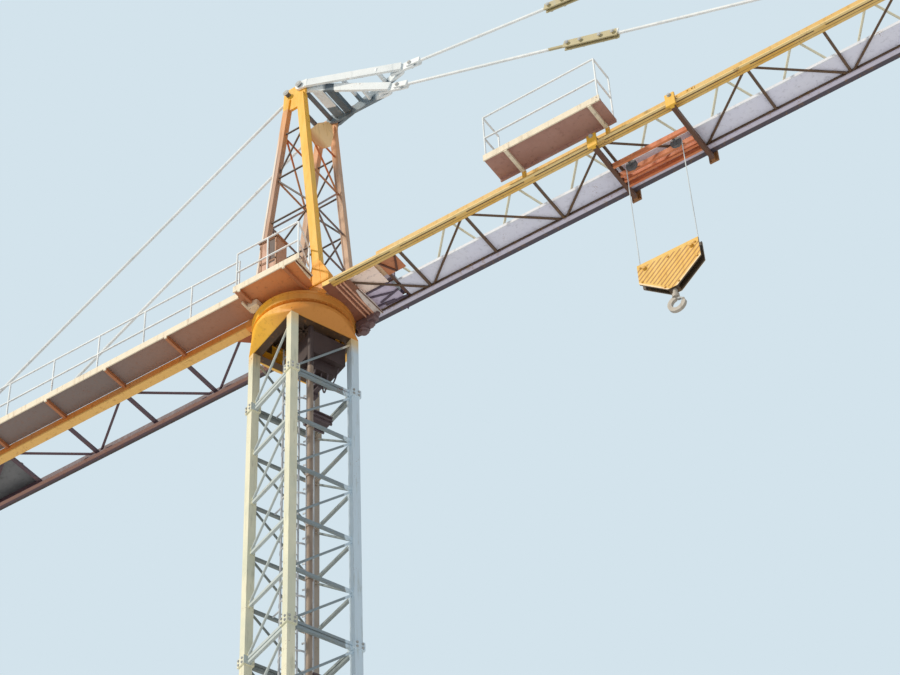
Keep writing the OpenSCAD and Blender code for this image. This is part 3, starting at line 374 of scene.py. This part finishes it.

# Tower head: welded box steel. The front near leg and the top plates are yellow and the other legs orange-beige.
# Painted shade makes the thin bracing dark and draws a dark stripe down the rear near leg and the far front leg; a
# pale band beside the rear leg's stripe is a painted highlight.
head_low, head_high = 3593.4, 4269.9
rear_lean, front_lean = 86/(head_high - head_low), -52/(head_high - head_low)
behind_front = front_lean*head_low - 84
before_rear = -rear_lean*head_low - 84
bracing = [((1, 0, -rear_lean), before_rear + 7.4, before_rear + 8), (back_z, -4206, -4205), (Z, 3655, 3656),
           ((-1, 0, front_lean), behind_front + 9.4, behind_front + 10)]
rear_leg = [(back_x, -10, -6), (back_z, -4213, -4205)]
rear_axis, front_axis = (1, 0, -rear_lean), (-1, 0, front_lean)
rear_shade_stripe = [(rear_axis, before_rear - 3.1, before_rear - 2.8), ((-1, 0, rear_lean), 0.2 - before_rear, 0.5 - before_rear)]
front_shade_stripe = [(front_axis, behind_front + 2.4, behind_front + 2.7),
                ((1, 0, -front_lean), -behind_front - 5.4, -behind_front - 5.1)]
head_yellow = weathered_paint("yellow_alkyd_paint", "#F6B52C", "#F0BC46", "#B07A28", "#84481E", areas=[
    ("#F6AA1E", [(back_z, -3668, -3660), (X, 60, 64)]), ("#B48C72", rear_leg),
    ("#E2D6C8", [*rear_leg, ((-1, 0, rear_lean), 2.6 - before_rear, 2.9 - before_rear)]),
    ("#86685A", [*rear_leg, *rear_shade_stripe]), ("#D8985E", [*rear_leg, (Z, 4060, 4170)]),
    ("#55473F", bracing)])
head_orange = weathered_paint("orange_beige_paint", "#C49E7E", "#BC9A80", "#96684A", "#74391C", areas=[
    ("#8A6A58", [(X, 30, 34), *front_shade_stripe]), ("#D69A68", [(Z, 4080, 4160)]), ("#55473F", bracing)])
brace_paint = weathered_paint("orange_brace_paint", "#BE6430", "#B87A48", "#7A4626", "#66331A", areas=[
    ("#7E6C68", [(back_z, -4010, -3950)])])
# The head plate's pale peach paint is painted light: paler than the yellow elsewhere, so that the plate looks sunlit
# where it lies in shade.
plate_paint = weathered_paint("head_plate_paint", "#FFD08E", "#FFD49A", "#B4803C", "#7A4220",
                              areas=[("#E09A58", [(back_z, -4140, -4110)])])
dress(head_yellow, "head_near_frame")
dress(head_orange, "head_far_frame")
dress(brace_paint, "head_cross_bracing")
dress(plate_paint, "head_plate")

# Yokes, pendants and ties: forged bars in pale grey paint, the far arms of the yokes blue-grey with painted shade,
# and the couplings yellowish where the paint has worn off them.
tie_colours = ("#F2F7F9", "#E4EBEE", "#B8C2C8", "#A89080")
tie_paint = weathered_paint("pale_grey_paint", *tie_colours, streak_mm=14,
                            areas=[("#B9AE86", [(X, 626, 628), (back_x, -790, -788)])])
yoke_paint = weathered_paint("yoke_paint", *tie_colours, streak_mm=14, areas=[
    ("#76858F", [(Y, 14, 16)]), ("#5B6872", [(X, 80, 81), (back_x, -108, -107), (Y, -48, -46)])])
dress(yoke_paint, "outer_yoke", "inner_yoke")
dress(tie_paint, "jib_pendants", "counter_ties")
bare_steel = weathered_paint("greased_steel", "#6E6F72", "#585A5E", "#3E3A36", "#5E4030", rough=0.42)
dress(bare_steel, "head_axle", "hoist_winch", "trolley_wheels", "trolley_sheaves", "block_sheaves")
forged_steel = weathered_paint("forged_hook_steel", "#B9B2A6", "#A39C92", "#6E675E", "#6E4A34", rough=0.45)
dress(forged_steel, "hook")

# Jib: a yellow near chord with painted shade in the gap along the wheel ledge, broken at the panel points.
# Painted shade makes the far chord and the lacing below dark, and painted light makes the side lacing pale.
ledge_gap_shade = [(back_z, -3577, -3576), (X, 11, 13, 117.5, 157.5)]
jib_paint = weathered_paint("jib_yellow_paint", "#DCAC50", "#DCBA74", "#946E34", "#7E4A22", areas=[
    ("#DFDCC4", [(Z, 3586.6, 3587), (back_z, -3668.5, -3668)]),
    ("#5C4634", [(back_z, -3586.4, -3586), (Y, -57.6, -57.2)]),
    ("#CBC7DA", [(back_z, -3577, -3576), (Y, 57.5, 58)]),
    ("#4A4450", [(back_z, -3577, -3576), (Y, 66, 67)]),
    ("#4E3A28", [*ledge_gap_shade, (Y, -72.6, -72.2), (back_y, 69.8, 70.2)]),
    ("#8A6A34", [(back_z, -3577, -3576), (Y, -65.4, -65), (back_y, 63.8, 64.2)]),
    ("#E9CF92", [(back_z, -3577, -3576), (back_y, 72.8, 73.2)])])
dress(jib_paint, *["jib_section_%d" % k for k in range(1, 6)])
root_paint = weathered_paint("jib_root_paint", "#84503A", "#8E5E4A", "#553628", "#5E3420", areas=[
    ("#D8A286", [(back_z, -3573.3, -3573.2)]), ("#E6B24C", [(back_y, 57.6, 58), (Z, 3573.6, 3573.8)]),
    ("#EDC464", [(back_y, 70.9, 71)])])
dress(root_paint, "jib_root")
winch_paint = weathered_paint("trolley_winch_paint", "#6E6076", "#7E7286", "#4A444A", "#5E4030", areas=[
    ("#E6C4A0", [(back_y, 11, 12), (Z, 3587.9, 3588.1)]), ("#5E3E30", [(back_z, -3588, -3587.8)])])
dress(winch_paint, "trolley_winch")
service_paint = weathered_paint("service_platform_paint", "#A2786C", "#AC8478", "#6A4A40", "#6A3A22", areas=[
    ("#E4D8C0", [(back_y, 135.8, 136.2)]),
    ("#E4D8C0", [(back_z, -3608.2, -3608), (back_y, 71.5, 72), (X, 4.6, 4.2, 579, 189)]),
    ("#E6B244", [(back_z, -3608.2, -3608), (Y, -72, -71.5)])])
dress(service_paint, "service_platform")
deck_paint = weathered_paint("walkway_paint", "#D68850", "#CC8A5E", "#8A5636", "#6A3218", areas=[
    ("#A2745C", [(back_x, 20, 110)]), ("#7E706C", [(back_x, 160, 440)]), ("#B07048", [(back_z, -3593.2, -3593)]),
    ("#E4D8C0", [(back_y, 148.6, 148.9)]), ("#E4D8C0", [(back_y, 130.6, 130.9), (back_x, 66.8, 67)])])
dress(deck_paint, "walkway")
cabinet_paint = weathered_paint("cabinet_paint", "#BE8E72", "#C49C84", "#6A4A38", "#6A3A22", areas=[
    ("#C99C84", [(back_y, 111, 111.2)]), ("#4A3630", [(back_y, 111, 111.2), (X, -8.4, -8.2), (Z, 3672, 3673)])])
cabinet_trim = weathered_paint("cabinet_trim_paint", "#B08060", "#BC9478", "#6A4A38", "#6A3A22")
dress(cabinet_paint, "control_cabinet")
grating = weathered_paint("galvanised_grating", "#DDDFF2", "#E0E2F2", "#9E9EAA", "#8A6A54", areas=[
    ("#DCE0EA", [(back_y, -13.2, -13)])])
dress(grating, "jib_catwalk")
rail_paint = weathered_paint("white_rail_paint", "#F0F4F5", "#E2E8EA", "#A8AAA6", "#8A6048")
dress(rail_paint, "service_handrail", "walkway_handrail")

# Counterweights: cast concrete blocks.
concrete = weathered_paint("cast_concrete", "#B4B0A6", "#A5A198", "#7C7870", "#908878", rough=0.85)
dress(concrete, "counterweights")

# Trolley: orange-red lengthwise bars, dark end beams and yellow wheel brackets; the far brackets are brown, painted
# shade.
end_beam = [(X, 81, 81.5, 825, 2000), (back_z, -3567.6, -3567.4)]
trolley_paint = weathered_paint("orange_red_paint", "#C8683A", "#CF8152", "#7C3E20", "#5E2A14", areas=[
    ("#5E3E2C", end_beam), ("#ECB83E", [(back_y, 76, 78)]), ("#8A5C30", [(Y, 76, 78)])])
dress(trolley_paint, "trolley_frame")

# Hook block: yellow outside with generic slanting warning stripes, dark inside.
stripe = ((-0.66, 0, 0.75), 2.5, 3.3, 0, 9)
block_low, block_high = (corner[2]/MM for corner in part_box("hook_block"))
slope = (0.649, 0, -0.761)
lip = 0.649*(825 + 64) - 0.761*(block_high + 2 - 50)
far_slope, far_lip = (-0.649, 0, -0.761), -0.649*(825 - 64) - 0.761*(block_high + 2 - 50)
face = [(back_z, -block_high + 8, -block_high + 9), ((-0.649, 0, 0.761), 6 - lip, 6.5 - lip),
        ((0.649, 0, 0.761), 6 - far_lip, 6.5 - far_lip)]
block_paint = weathered_paint("hook_block_paint", "#E8B44A", "#E2BC60", "#B08238", "#84481E", areas=[
    ("#A87228", [stripe, *face]),
    ("#F4D6A8", [(slope, lip - 3.2, lip - 2.8)]), ("#F4D6A8", [(far_slope, far_lip - 3.2, far_lip - 2.8)]),
    ("#4A3B2A", [(Y, -8.6, -8.4), (back_y, -8.6, -8.4)])])
dress(block_paint, "hook_block")

block_bolt_paint = weathered_paint("block_bolt_paint", "#D8A23C", "#CFA552", "#8A6428", "#74401C")
plain_yellow = weathered_paint("plate_yellow_paint", "#E8B040", "#E2B860", "#98702C", "#7E4A22")

# Hoist ropes.
rope_wire = weathered_paint("drawn_wire_rope", "#D4DCE0", "#B8C0C6", "#8A8C8C", "#7A5A44")
low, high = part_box("hoist_ropes")
rope_x = [low[0] + 1*MM, high[0] - 1*MM]
starts = np.array([(x, 0, high[2]) for x in rope_x])
levels = np.linspace(0, 1, 13)
profile = [(1*MM, -t*(high[2] - low[2])) for t in levels[::-1]]
vertices, faces = turned(starts, upward, profile, 10)
ropes = new_piece("rope_falls", vertices, faces, rope_wire)
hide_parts("hoist_ropes")
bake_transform(ropes)


def mm(*point):
    """A point given in mm, in metres."""
    return np.array(point, float)*MM


def grid(*axes):
    """All points whose coordinates come from the lists, in mm."""
    return np.stack(np.meshgrid(*(np.atleast_1d(a).astype(float) for a in axes), indexing="ij"), -1).reshape(-1, 3)*MM


def tubes(paths, plane, radius, sides=8):
    """Round bars bent along paths, given as solid, point, xyz, each in a plane square to one direction."""
    paths = np.array(paths, float)
    tangent = np.gradient(paths, axis=1)
    tangent /= np.linalg.norm(tangent, axis=2, keepdims=True)
    other = np.broadcast_to(np.array(plane, float)/np.linalg.norm(plane), paths.shape)
    side = np.cross(other, tangent)
    angle = 2*math.pi*np.arange(sides)/sides
    spokes = np.cos(angle)[:, None]*side[:, :, None] + np.sin(angle)[:, None]*other[:, :, None]
    return lofts(paths[:, :, None] + radius*MM*spokes)


# Inside the mast: supply cables that hang from the slip-ring housing, a junction box on two brackets, and
# small rest landings on the conduit, one below the top of each section.
def on_mast(s, t, z):
    """A point given in mm along the mast's own faces, in metres."""
    return (s*east + t*north + z*upward)*MM


inside_paint = weathered_paint("dark_inside_paint", "#54464A", "#605256", "#342A2C", "#5A4030")
conduit_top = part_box("cable_conduit")[1][2]/MM
sag = np.linspace(0, 1, 13)
loops = [[on_mast(s + reach*u, t, conduit_top + lift - depth*math.sin(math.pi*u)) for u in sag]
         for s, t, reach, lift, depth in ((18, -4, 32, -97, 34), (20, 14, 26, -97, 22), (26, 26, 24, -97, 40),
                                          (8, -14, 50, -69, 40), (8, 50, 44, -69, 26))]
landings = [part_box(name)[1][2]/MM - 76 for name in sections] + [conduit_top - 216]
clutter = [tubes(loops, north, 1.7), blocks(on_mast(30, 4, conduit_top - 142), east, north, (15, 17, 28), 0.8),
           blocks([on_mast(46, 3, conduit_top - 142 + d) for d in (-8, 8)], east, north, (24, 10, 3)),
           blocks([on_mast(36, 12, z) for z in landings], east, north, (40, 44, 3)),
           blocks([on_mast(36 + d, 12, z - 4) for z in landings for d in (-14, 14)], north, east, (46, 4, 5))]
place_piece("mast_inside_fittings", clutter, inside_paint, "tower")

# Slewing gear and the apron under the jib root: a greasy gearbox with its motor, brake and oil pump, hung
# under the far side of the root, and a beige splash plate beyond the ribs, wider at the far side.
gear_paint = weathered_paint("greasy_gear_paint", "#6A5254", "#766062", "#3E3030", "#5A3424", rough=0.4)
root_low, root_high = (corner/MM for corner in map(np.array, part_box("jib_root")))
root_floor = root_low[2] + 4
gear_profile = np.array([(5, 0), (8, 0.6), (8, 4), (10, 4.6), (11.5, 6), (11.5, 12), (13, 12.6), (13, 20)])*MM
brake_profile = np.array([(3, 0), (6, 0.5), (7, 2), (7, 7), (5.5, 7.6), (5.5, 16)])*MM
gear_parts = [turned(mm(108, 60, root_floor - 31), upward, gear_profile, 28),
              turned(mm(131, 56, root_floor - 24), upward, brake_profile, 24),
              hex_heads(mm(108, 60, root_floor - 18.6) + 12.2*MM*circle[::6], -upward, 3*MM),
              blocks(mm(112, 58, root_floor - 10), X, Y, (34, 20, 20.4), 2),
              blocks(mm(134, 54, root_floor - 7.5), X, Y, (22, 17, 15.4), 2),
              blocks(mm(92, 69, root_floor - 9), (1, 0.1, 0), (-0.1, 1, 0), (17, 12, 18), 2),
              blocks(mm(121, 67, root_floor - 13), (1, -0.25, 0), (0.25, 1, 0), (22, 5, 6), 1),
              blocks(mm(146, 52, root_floor - 5), (1, -0.4, 0), (0.4, 1, 0), (13, 9, 9), 1)]
place_piece("slewing_gear", gear_parts, gear_paint, "slewing_part")
slant_edge = (0.989, 0.143, 0)
apron_paint = weathered_paint("apron_paint", "#84553F", "#8E6450", "#553628", "#7A4E36", areas=[
    ("#DDD3CE", [(slant_edge, 142.3, 142.9), (Y, -27, -24)]),
    ("#6A4A3C", [(back_z, -root_floor + 3.2, -root_floor + 3.4)])])
apron_outline = [mm(x, y, 0) for x, y in ((136, -57), (154, -57), (157, -8), (159, 24), (157, 57), (136, 57))]
apron_plate = lofts(np.array([[[p + mm(0, 0, root_floor - 2 + t) for p in apron_outline] for t in (0, 2)]]))
apron_lip = blocks(mm(156.5, 15, root_floor - 3), (0.03, 1, 0), (1, -0.03, 0), (84, 2.4, 3), 0.4)
place_piece("root_apron", [apron_plate, apron_lip], apron_paint, "slewing_part")

# Brown gussets between the counter jib and the slewing frame, and the cream bracket that carries the step of
# the walkway beside the ring.
gusset_paint = weathered_paint("gusset_paint", "#A2582E", "#A8663C", "#6A3A20", "#5A2E18")
gussets = []
for side in (-1, 1):
    outline = [(-82, 53), (-142, 53), (-97, 12)]
    outline = [mm(x, side*y, 3573.7) for x, y in (outline if side < 0 else outline[::-1])]
    gussets.append(lofts(np.array([[outline, [p + mm(0, 0, 2) for p in outline]]])))
place_piece("frame_gussets", gussets, gusset_paint, "slewing_part")
frame_pale = weathered_paint("end_frame_paint", "#E2CDB0", "#D8C4AC", "#8E745C", "#7A4A2E", areas=[
    ("#6A4430", [(X, 86, 86.2), (back_x, -90, -89.8)])])
hanger = [blocks(mm(-50, -99, 3583.5), X, Y, (24, 20, 16), 1), blocks(mm(-66, -104, 3586), X, Y, (5, 34, 6), 0.6)]
place_piece("walkway_hanger", hanger, frame_pale, "slewing_part")

# Trolley winch: rope wound on the drum between flanges, fins on the motor, and the brown bracket in front.
winch_low, winch_high = (np.array(corner)/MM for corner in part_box("trolley_winch"))
winch_middle = np.array((117.5 + 157.5/2, 28, 3609.2))


def rope_drum(start, direction, radius, length, rope):
    """A layer of rope wound on a drum, as a row of round ridges between two flanges."""
    turns = int(length/rope)
    rim = [(radius - 0.4, 0.5)]
    for k in range(turns):
        rim += [(radius + 0.1 + rope*0.42*math.sin(math.pi*t), 0.6 + (k + t)*rope) for t in (0.15, 0.5, 0.85)]
    rim += [(radius - 0.4, 0.7 + turns*rope)]
    wound = turned(start, direction, np.array(rim)*MM, 32)
    ends = [turned(start + np.array(direction)*at*MM, direction,
                   np.array([(radius*0.6, 0), (radius*1.24, 0.1), (radius*1.24, 1.5), (radius*0.6, 1.6)])*MM, 36)
            for at in (-0.2, length - 1.4)]
    return wound, joined(*ends)


wound, flanges = rope_drum((winch_middle - (0, 19.5, 0))*MM, Y, 17, 39, 2.2)
place_piece("trolley_rope_windings", [wound], rope_wire, "slewing_part", smooth=True)
fins = blocks(grid(np.linspace(173, 218, 12), -31, 3609.4), X, Y, (1.6, 34, 3), 0.3)
place_piece("trolley_winch_fins", [flanges, fins, hex_heads(grid([172, 220], [-46, -16], 3608.2), upward, 4*MM)],
            winch_paint, "slewing_part")
bracket_paint = weathered_paint("brown_bracket_paint", "#C07248", "#C07E58", "#6E4028", "#5A2E18", areas=[
    ("#5A3424", [(back_z, -3580.4, -3580.2)])])
slant = np.array([(22, 44, 0), (-22, 44, 0)])
bracket = [blocks(mm(242, -35.5, 3581.6), X, Y, (42, 44, 1.6)),
           blocks([mm(232, -36, 3579.6), mm(253, -36, 3579.6)], slant, np.cross(upward, slant), (46, 4, 3))]
place_piece("winch_bracket", bracket, bracket_paint, "slewing_part")
tray_paint = weathered_paint("winch_tray_paint", "#CFC4DC", "#BCB2CA", "#6A6070", "#5E4030", areas=[
    ("#FFE8DC", [(back_y, -2, -1.8), (Z, 3582.3, 3582.4)]), ("#574A5C", [(back_z, -3582.4, -3582.3)])])
tray_bars = blocks([mm(x, y, 3580.8) for x, y in ((180, 2.5), (176, 22), (190, 34), (168, 46), (196, 52))],
                   [(1, 0, 0), (1, 0.3, 0), (1, -0.24, 0), (1, 0.1, 0), (1, 0.04, 0)],
                   [(0, 1, 0), (-0.3, 1, 0), (0.24, 1, 0), (-0.1, 1, 0), (-0.04, 1, 0)], (52, 4, 3))
tray = [blocks(mm(177.5, -24, 3583), X, Y, (65, 52, 1.2)), blocks(mm(182, 31, 3583), X, Y, (62, 52, 1.2)), tray_bars,
        blocks(mm(204, 74.4, 3576), (1, 0.3, 0), (-0.3, 1, 0), (9, 6.6, 6)),
        turned(mm(206, 77, 3570), upward, np.array([(1.4, 0), (1.6, 9)])*MM, 8)]
place_piece("winch_tray", tray, tray_paint, "slewing_part")

# Control cabinet: two doors with louvres, hinges and a handle in a raised frame, below a rain hood.
cab_low, cab_high = (np.array(corner)/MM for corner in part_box("control_cabinet"))
cab_middle, cab_size = (cab_low + cab_high)/2, cab_high - cab_low
front = cab_low[1]
stiles = blocks(grid([cab_low[0] + 2, cab_middle[0], cab_high[0] - 2], front, cab_middle[2]), X, Y,
                (4, 2.4, cab_size[2] - 1))
rails = blocks(grid(cab_middle[0], front, [cab_low[2] + 2.5, cab_middle[2] + 8, cab_high[2] - 2.5]), X, Y,
               (cab_size[0] - 1, 2.4, 5))
louvre_tilt = np.array((0, 0.5, -0.87))
louvres = blocks(grid([cab_low[0] + 11.5, cab_high[0] - 11.5], front - 0.2, cab_low[2] + 18 + 5*np.arange(9)), X,
                 louvre_tilt, (15, 4, 0.8), 0.1)
hinges = turned(grid([cab_low[0] + 0.8, cab_high[0] - 0.8], front - 1.4, cab_low[2] + np.array((20, 60, 100, 135))),
                upward, np.array([(1.3, -4), (1.3, 4)])*MM, 10)
handle = tubes([mm(cab_middle[0] + 4, front, cab_middle[2] + 22) + np.array([(0, 0, -6), (0, -3, -5), (0, -3, 5),
                                                                             (0, 0, 6)])*MM], X, 0.8)
hood = blocks(mm(cab_middle[0], cab_middle[1] - 2, cab_high[2] + 1), X, (0, 1, 0.04), (cab_size[0] + 8,
                                                                                     cab_size[1] + 10, 2.4))
place_piece("cabinet_doors", [stiles, rails, louvres, hinges, handle, hood], cabinet_trim, "slewing_part")

# Hoist winch on the counter jib: wound drum with flanges, finned motor and cover bolts.
hoist_low, hoist_high = (np.array(corner)/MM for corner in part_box("hoist_winch"))
drum_x = -1330*0.62
wound, flanges = rope_drum(mm(drum_x, -37, 3627.4), Y, 23, 74, 2.4)
place_piece("hoist_rope_windings", [wound], rope_wire, "slewing_part", smooth=True)
motor = [(14, -31.5), (16.6, -31)]
for k in range(14):
    motor += [(16.6, -26 + 3.8*k), (19, -25.9 + 3.8*k), (19, -24.9 + 3.8*k), (16.6, -24.8 + 3.8*k)]
motor += [(16.6, 31), (14, 31.5)]
motor_fins = turned(mm(drum_x - 50, 0, 3621.4), Y, np.array(motor)*MM, 30)
cover_bolts = hex_heads(grid([drum_x - 24, drum_x + 24], -44, [3604, 3650]), -np.array(Y), 5*MM)
place_piece("hoist_winch_fittings", [flanges, motor_fins, cover_bolts], bare_steel, "slewing_part")

# Counterweights: lifting eyes cast into the top and tie rods with nuts through the sides.
weight_low, weight_high = (np.array(corner)/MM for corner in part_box("counterweights"))
weight_x = weight_low[0] + 20 + 44*np.arange(4)
arc = np.radians(np.linspace(0, 180, 13))
eye_arc = np.stack([9*np.cos(arc), 0*arc, 9*np.sin(arc) - 0.5], 1)*MM
eyes = tubes([at + eye_arc for at in grid(weight_x, [-30, 30], weight_high[2])], Y, 1.6)
nuts = hex_heads(grid(weight_x, weight_low[1], weight_high[2] - 6), -np.array(Y), 7*MM)
place_piece("weight_lifting_eyes", [eyes, nuts], bolt_steel, "slewing_part")

# Joints of the jib sections: fishplates on the chords with four bolts each.
joint_x = 117.5 + 157.5*5*np.arange(1, 5)
near_top, far_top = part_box("jib_section_1")[0][2]/MM + 13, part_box("jib_section_1")[1][2]/MM
plates = blocks(grid(joint_x, [-64.5, 64.5], near_top + 0.8), X, Y, (56, 10, 2))
cheeks = blocks(grid(joint_x, [-6, 6], far_top - 5.5), X, Z, (56, 9, 1.6))
steps = np.array((-22, -12, 12, 22))
bolts = [hex_heads(grid((joint_x[:, None] + steps).ravel(), [-64.5, 64.5], near_top + 1.8), upward, 3.4*MM)]
bolts += [hex_heads(grid((joint_x[:, None] + steps).ravel(), side*6.8, far_top - 5.5), (0, side, 0), 3.4*MM)
          for side in (-1, 1)]
place_piece("jib_joint_plates", [plates, cheeks, *bolts], plain_yellow, "slewing_part")

# Pins: washers and short heads at the forks and couplings, and larger ones on the two head axles.
def pin_ends(places, half, radius):
    """A washer and a short head on both ends of pins that lie along Y."""
    profile = np.array([(radius, 0), (radius, 1.2), (radius*0.66, 1.3), (radius*0.6, 2.2)])*MM
    return joined(*[turned(places + side*half*mm(0, 1, 0), (0, side, 0), profile, 16) for side in (-1, 1)])


axle_low, axle_high = (np.array(corner)/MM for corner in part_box("head_axle"))
front_pin, rear_pin = mm(axle_high[0] - 5.5, 0, axle_high[2] - 5.5), mm(axle_low[0] + 5.5, 0, axle_low[2] + 5.5)
outer_tip, inner_tip = front_pin + mm(252, 0, -40), front_pin + mm(218, 0, -92)
outer_far, inner_far = (mm(117.5 + 157.5*(k + 0.5), 0, 3692.4) for k in (19, 8))
couplings = []
for tip, far, reach in ((outer_tip, outer_far, 350), (inner_tip, inner_far, 445)):
    run = (far - tip)/np.linalg.norm(far - tip)
    couplings += [tip + run*(reach + t*135)*MM for t in (0.08, 0.32, 0.68, 0.92)]
forks = np.array([outer_tip, inner_tip, outer_far, inner_far])
caps = joined(pin_ends(np.array([front_pin, rear_pin]), 73.4, 8))
place_piece("pin_washers", [pin_ends(forks, 7.9, 4.6), pin_ends(np.array(couplings), 9.6, 4.6), caps], bolt_steel,
            "slewing_part")

# Walkways: the end frame under the wide platform, and foot plates under the handrail posts.
end_bars = blocks([mm(x, -121, 3591.9) for x in (84, 88, 92)], (-0.1, 1, 0), (1, 0.1, 0), (56, 3.4, 3), 0.3)
place_piece("walkway_end_frame", [end_bars], frame_pale, "slewing_part")
walk_posts = grid(np.linspace(-1060, -71, 9), -133.3 + 2.5 + 4, 3596.4)
side_posts = grid([-63, 14.5, 92], -151.3 + 6.5, 3596.4)
service_posts = grid([533, 787], -138.5 + 4.8, 3611.4)
feet = turned(np.concatenate([walk_posts, side_posts, service_posts]), upward,
              np.array([(5, 0), (5, 1), (3, 1.4), (2.6, 4)])*MM, 12)
place_piece("post_feet", [feet], rail_paint, "slewing_part")

# Trolley: hub nuts outside the wheel brackets.
hubs = [hex_heads(grid([825 - 86, 825 + 86], side*86.4, 3583.7), (0, side, 0), 7*MM) for side in (-1, 1)]
place_piece("trolley_hub_nuts", hubs, bolt_steel, "trolley")

# Hook block: sheave pins and spacer bolts on both cheeks. The latch closes the throat of the hook.
cheek_low, cheek_high = (np.array(corner)/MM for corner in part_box("hook_block"))
pins = [(825 + e*49, cheek_high[2] - 15) for e in (-1, 1)]
spacers = [(825 + x, cheek_high[2] - 2 - z) for x, z in ((-57, 8), (57, 8), (-57, 44), (57, 44), (0, 12), (-14, 84),
                                                         (14, 84))]
cheek_parts = []
for side in (-1, 1):
    face_y = side*(cheek_high[1] - 0.1)
    cheek_parts += [hex_heads([mm(x, face_y, z) for x, z in pins], (0, side, 0), 8*MM),
                    hex_heads([mm(x, face_y, z) for x, z in spacers], (0, side, 0), 4*MM)]
place_piece("block_bolts", cheek_parts, block_bolt_paint, "hook_block")
hook_low, hook_high = (np.array(corner)/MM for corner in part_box("hook"))
latch_line = np.array([(3, 0, -25), (8, 0, -25.6), (13, 0, -29)])*MM + mm(825, 0, hook_high[2] + 0.3)
latch = strips([latch_line + mm(0, y, 0) for y in (-2.2, 2.2)], 3.4, 0.8)
place_piece("hook_latch", [latch, turned(mm(825 + 3, -3.4, hook_high[2] - 24.7), Y,
                                         np.array([(1, 0), (1, 6.8)])*MM, 10)], bolt_steel, "hook")
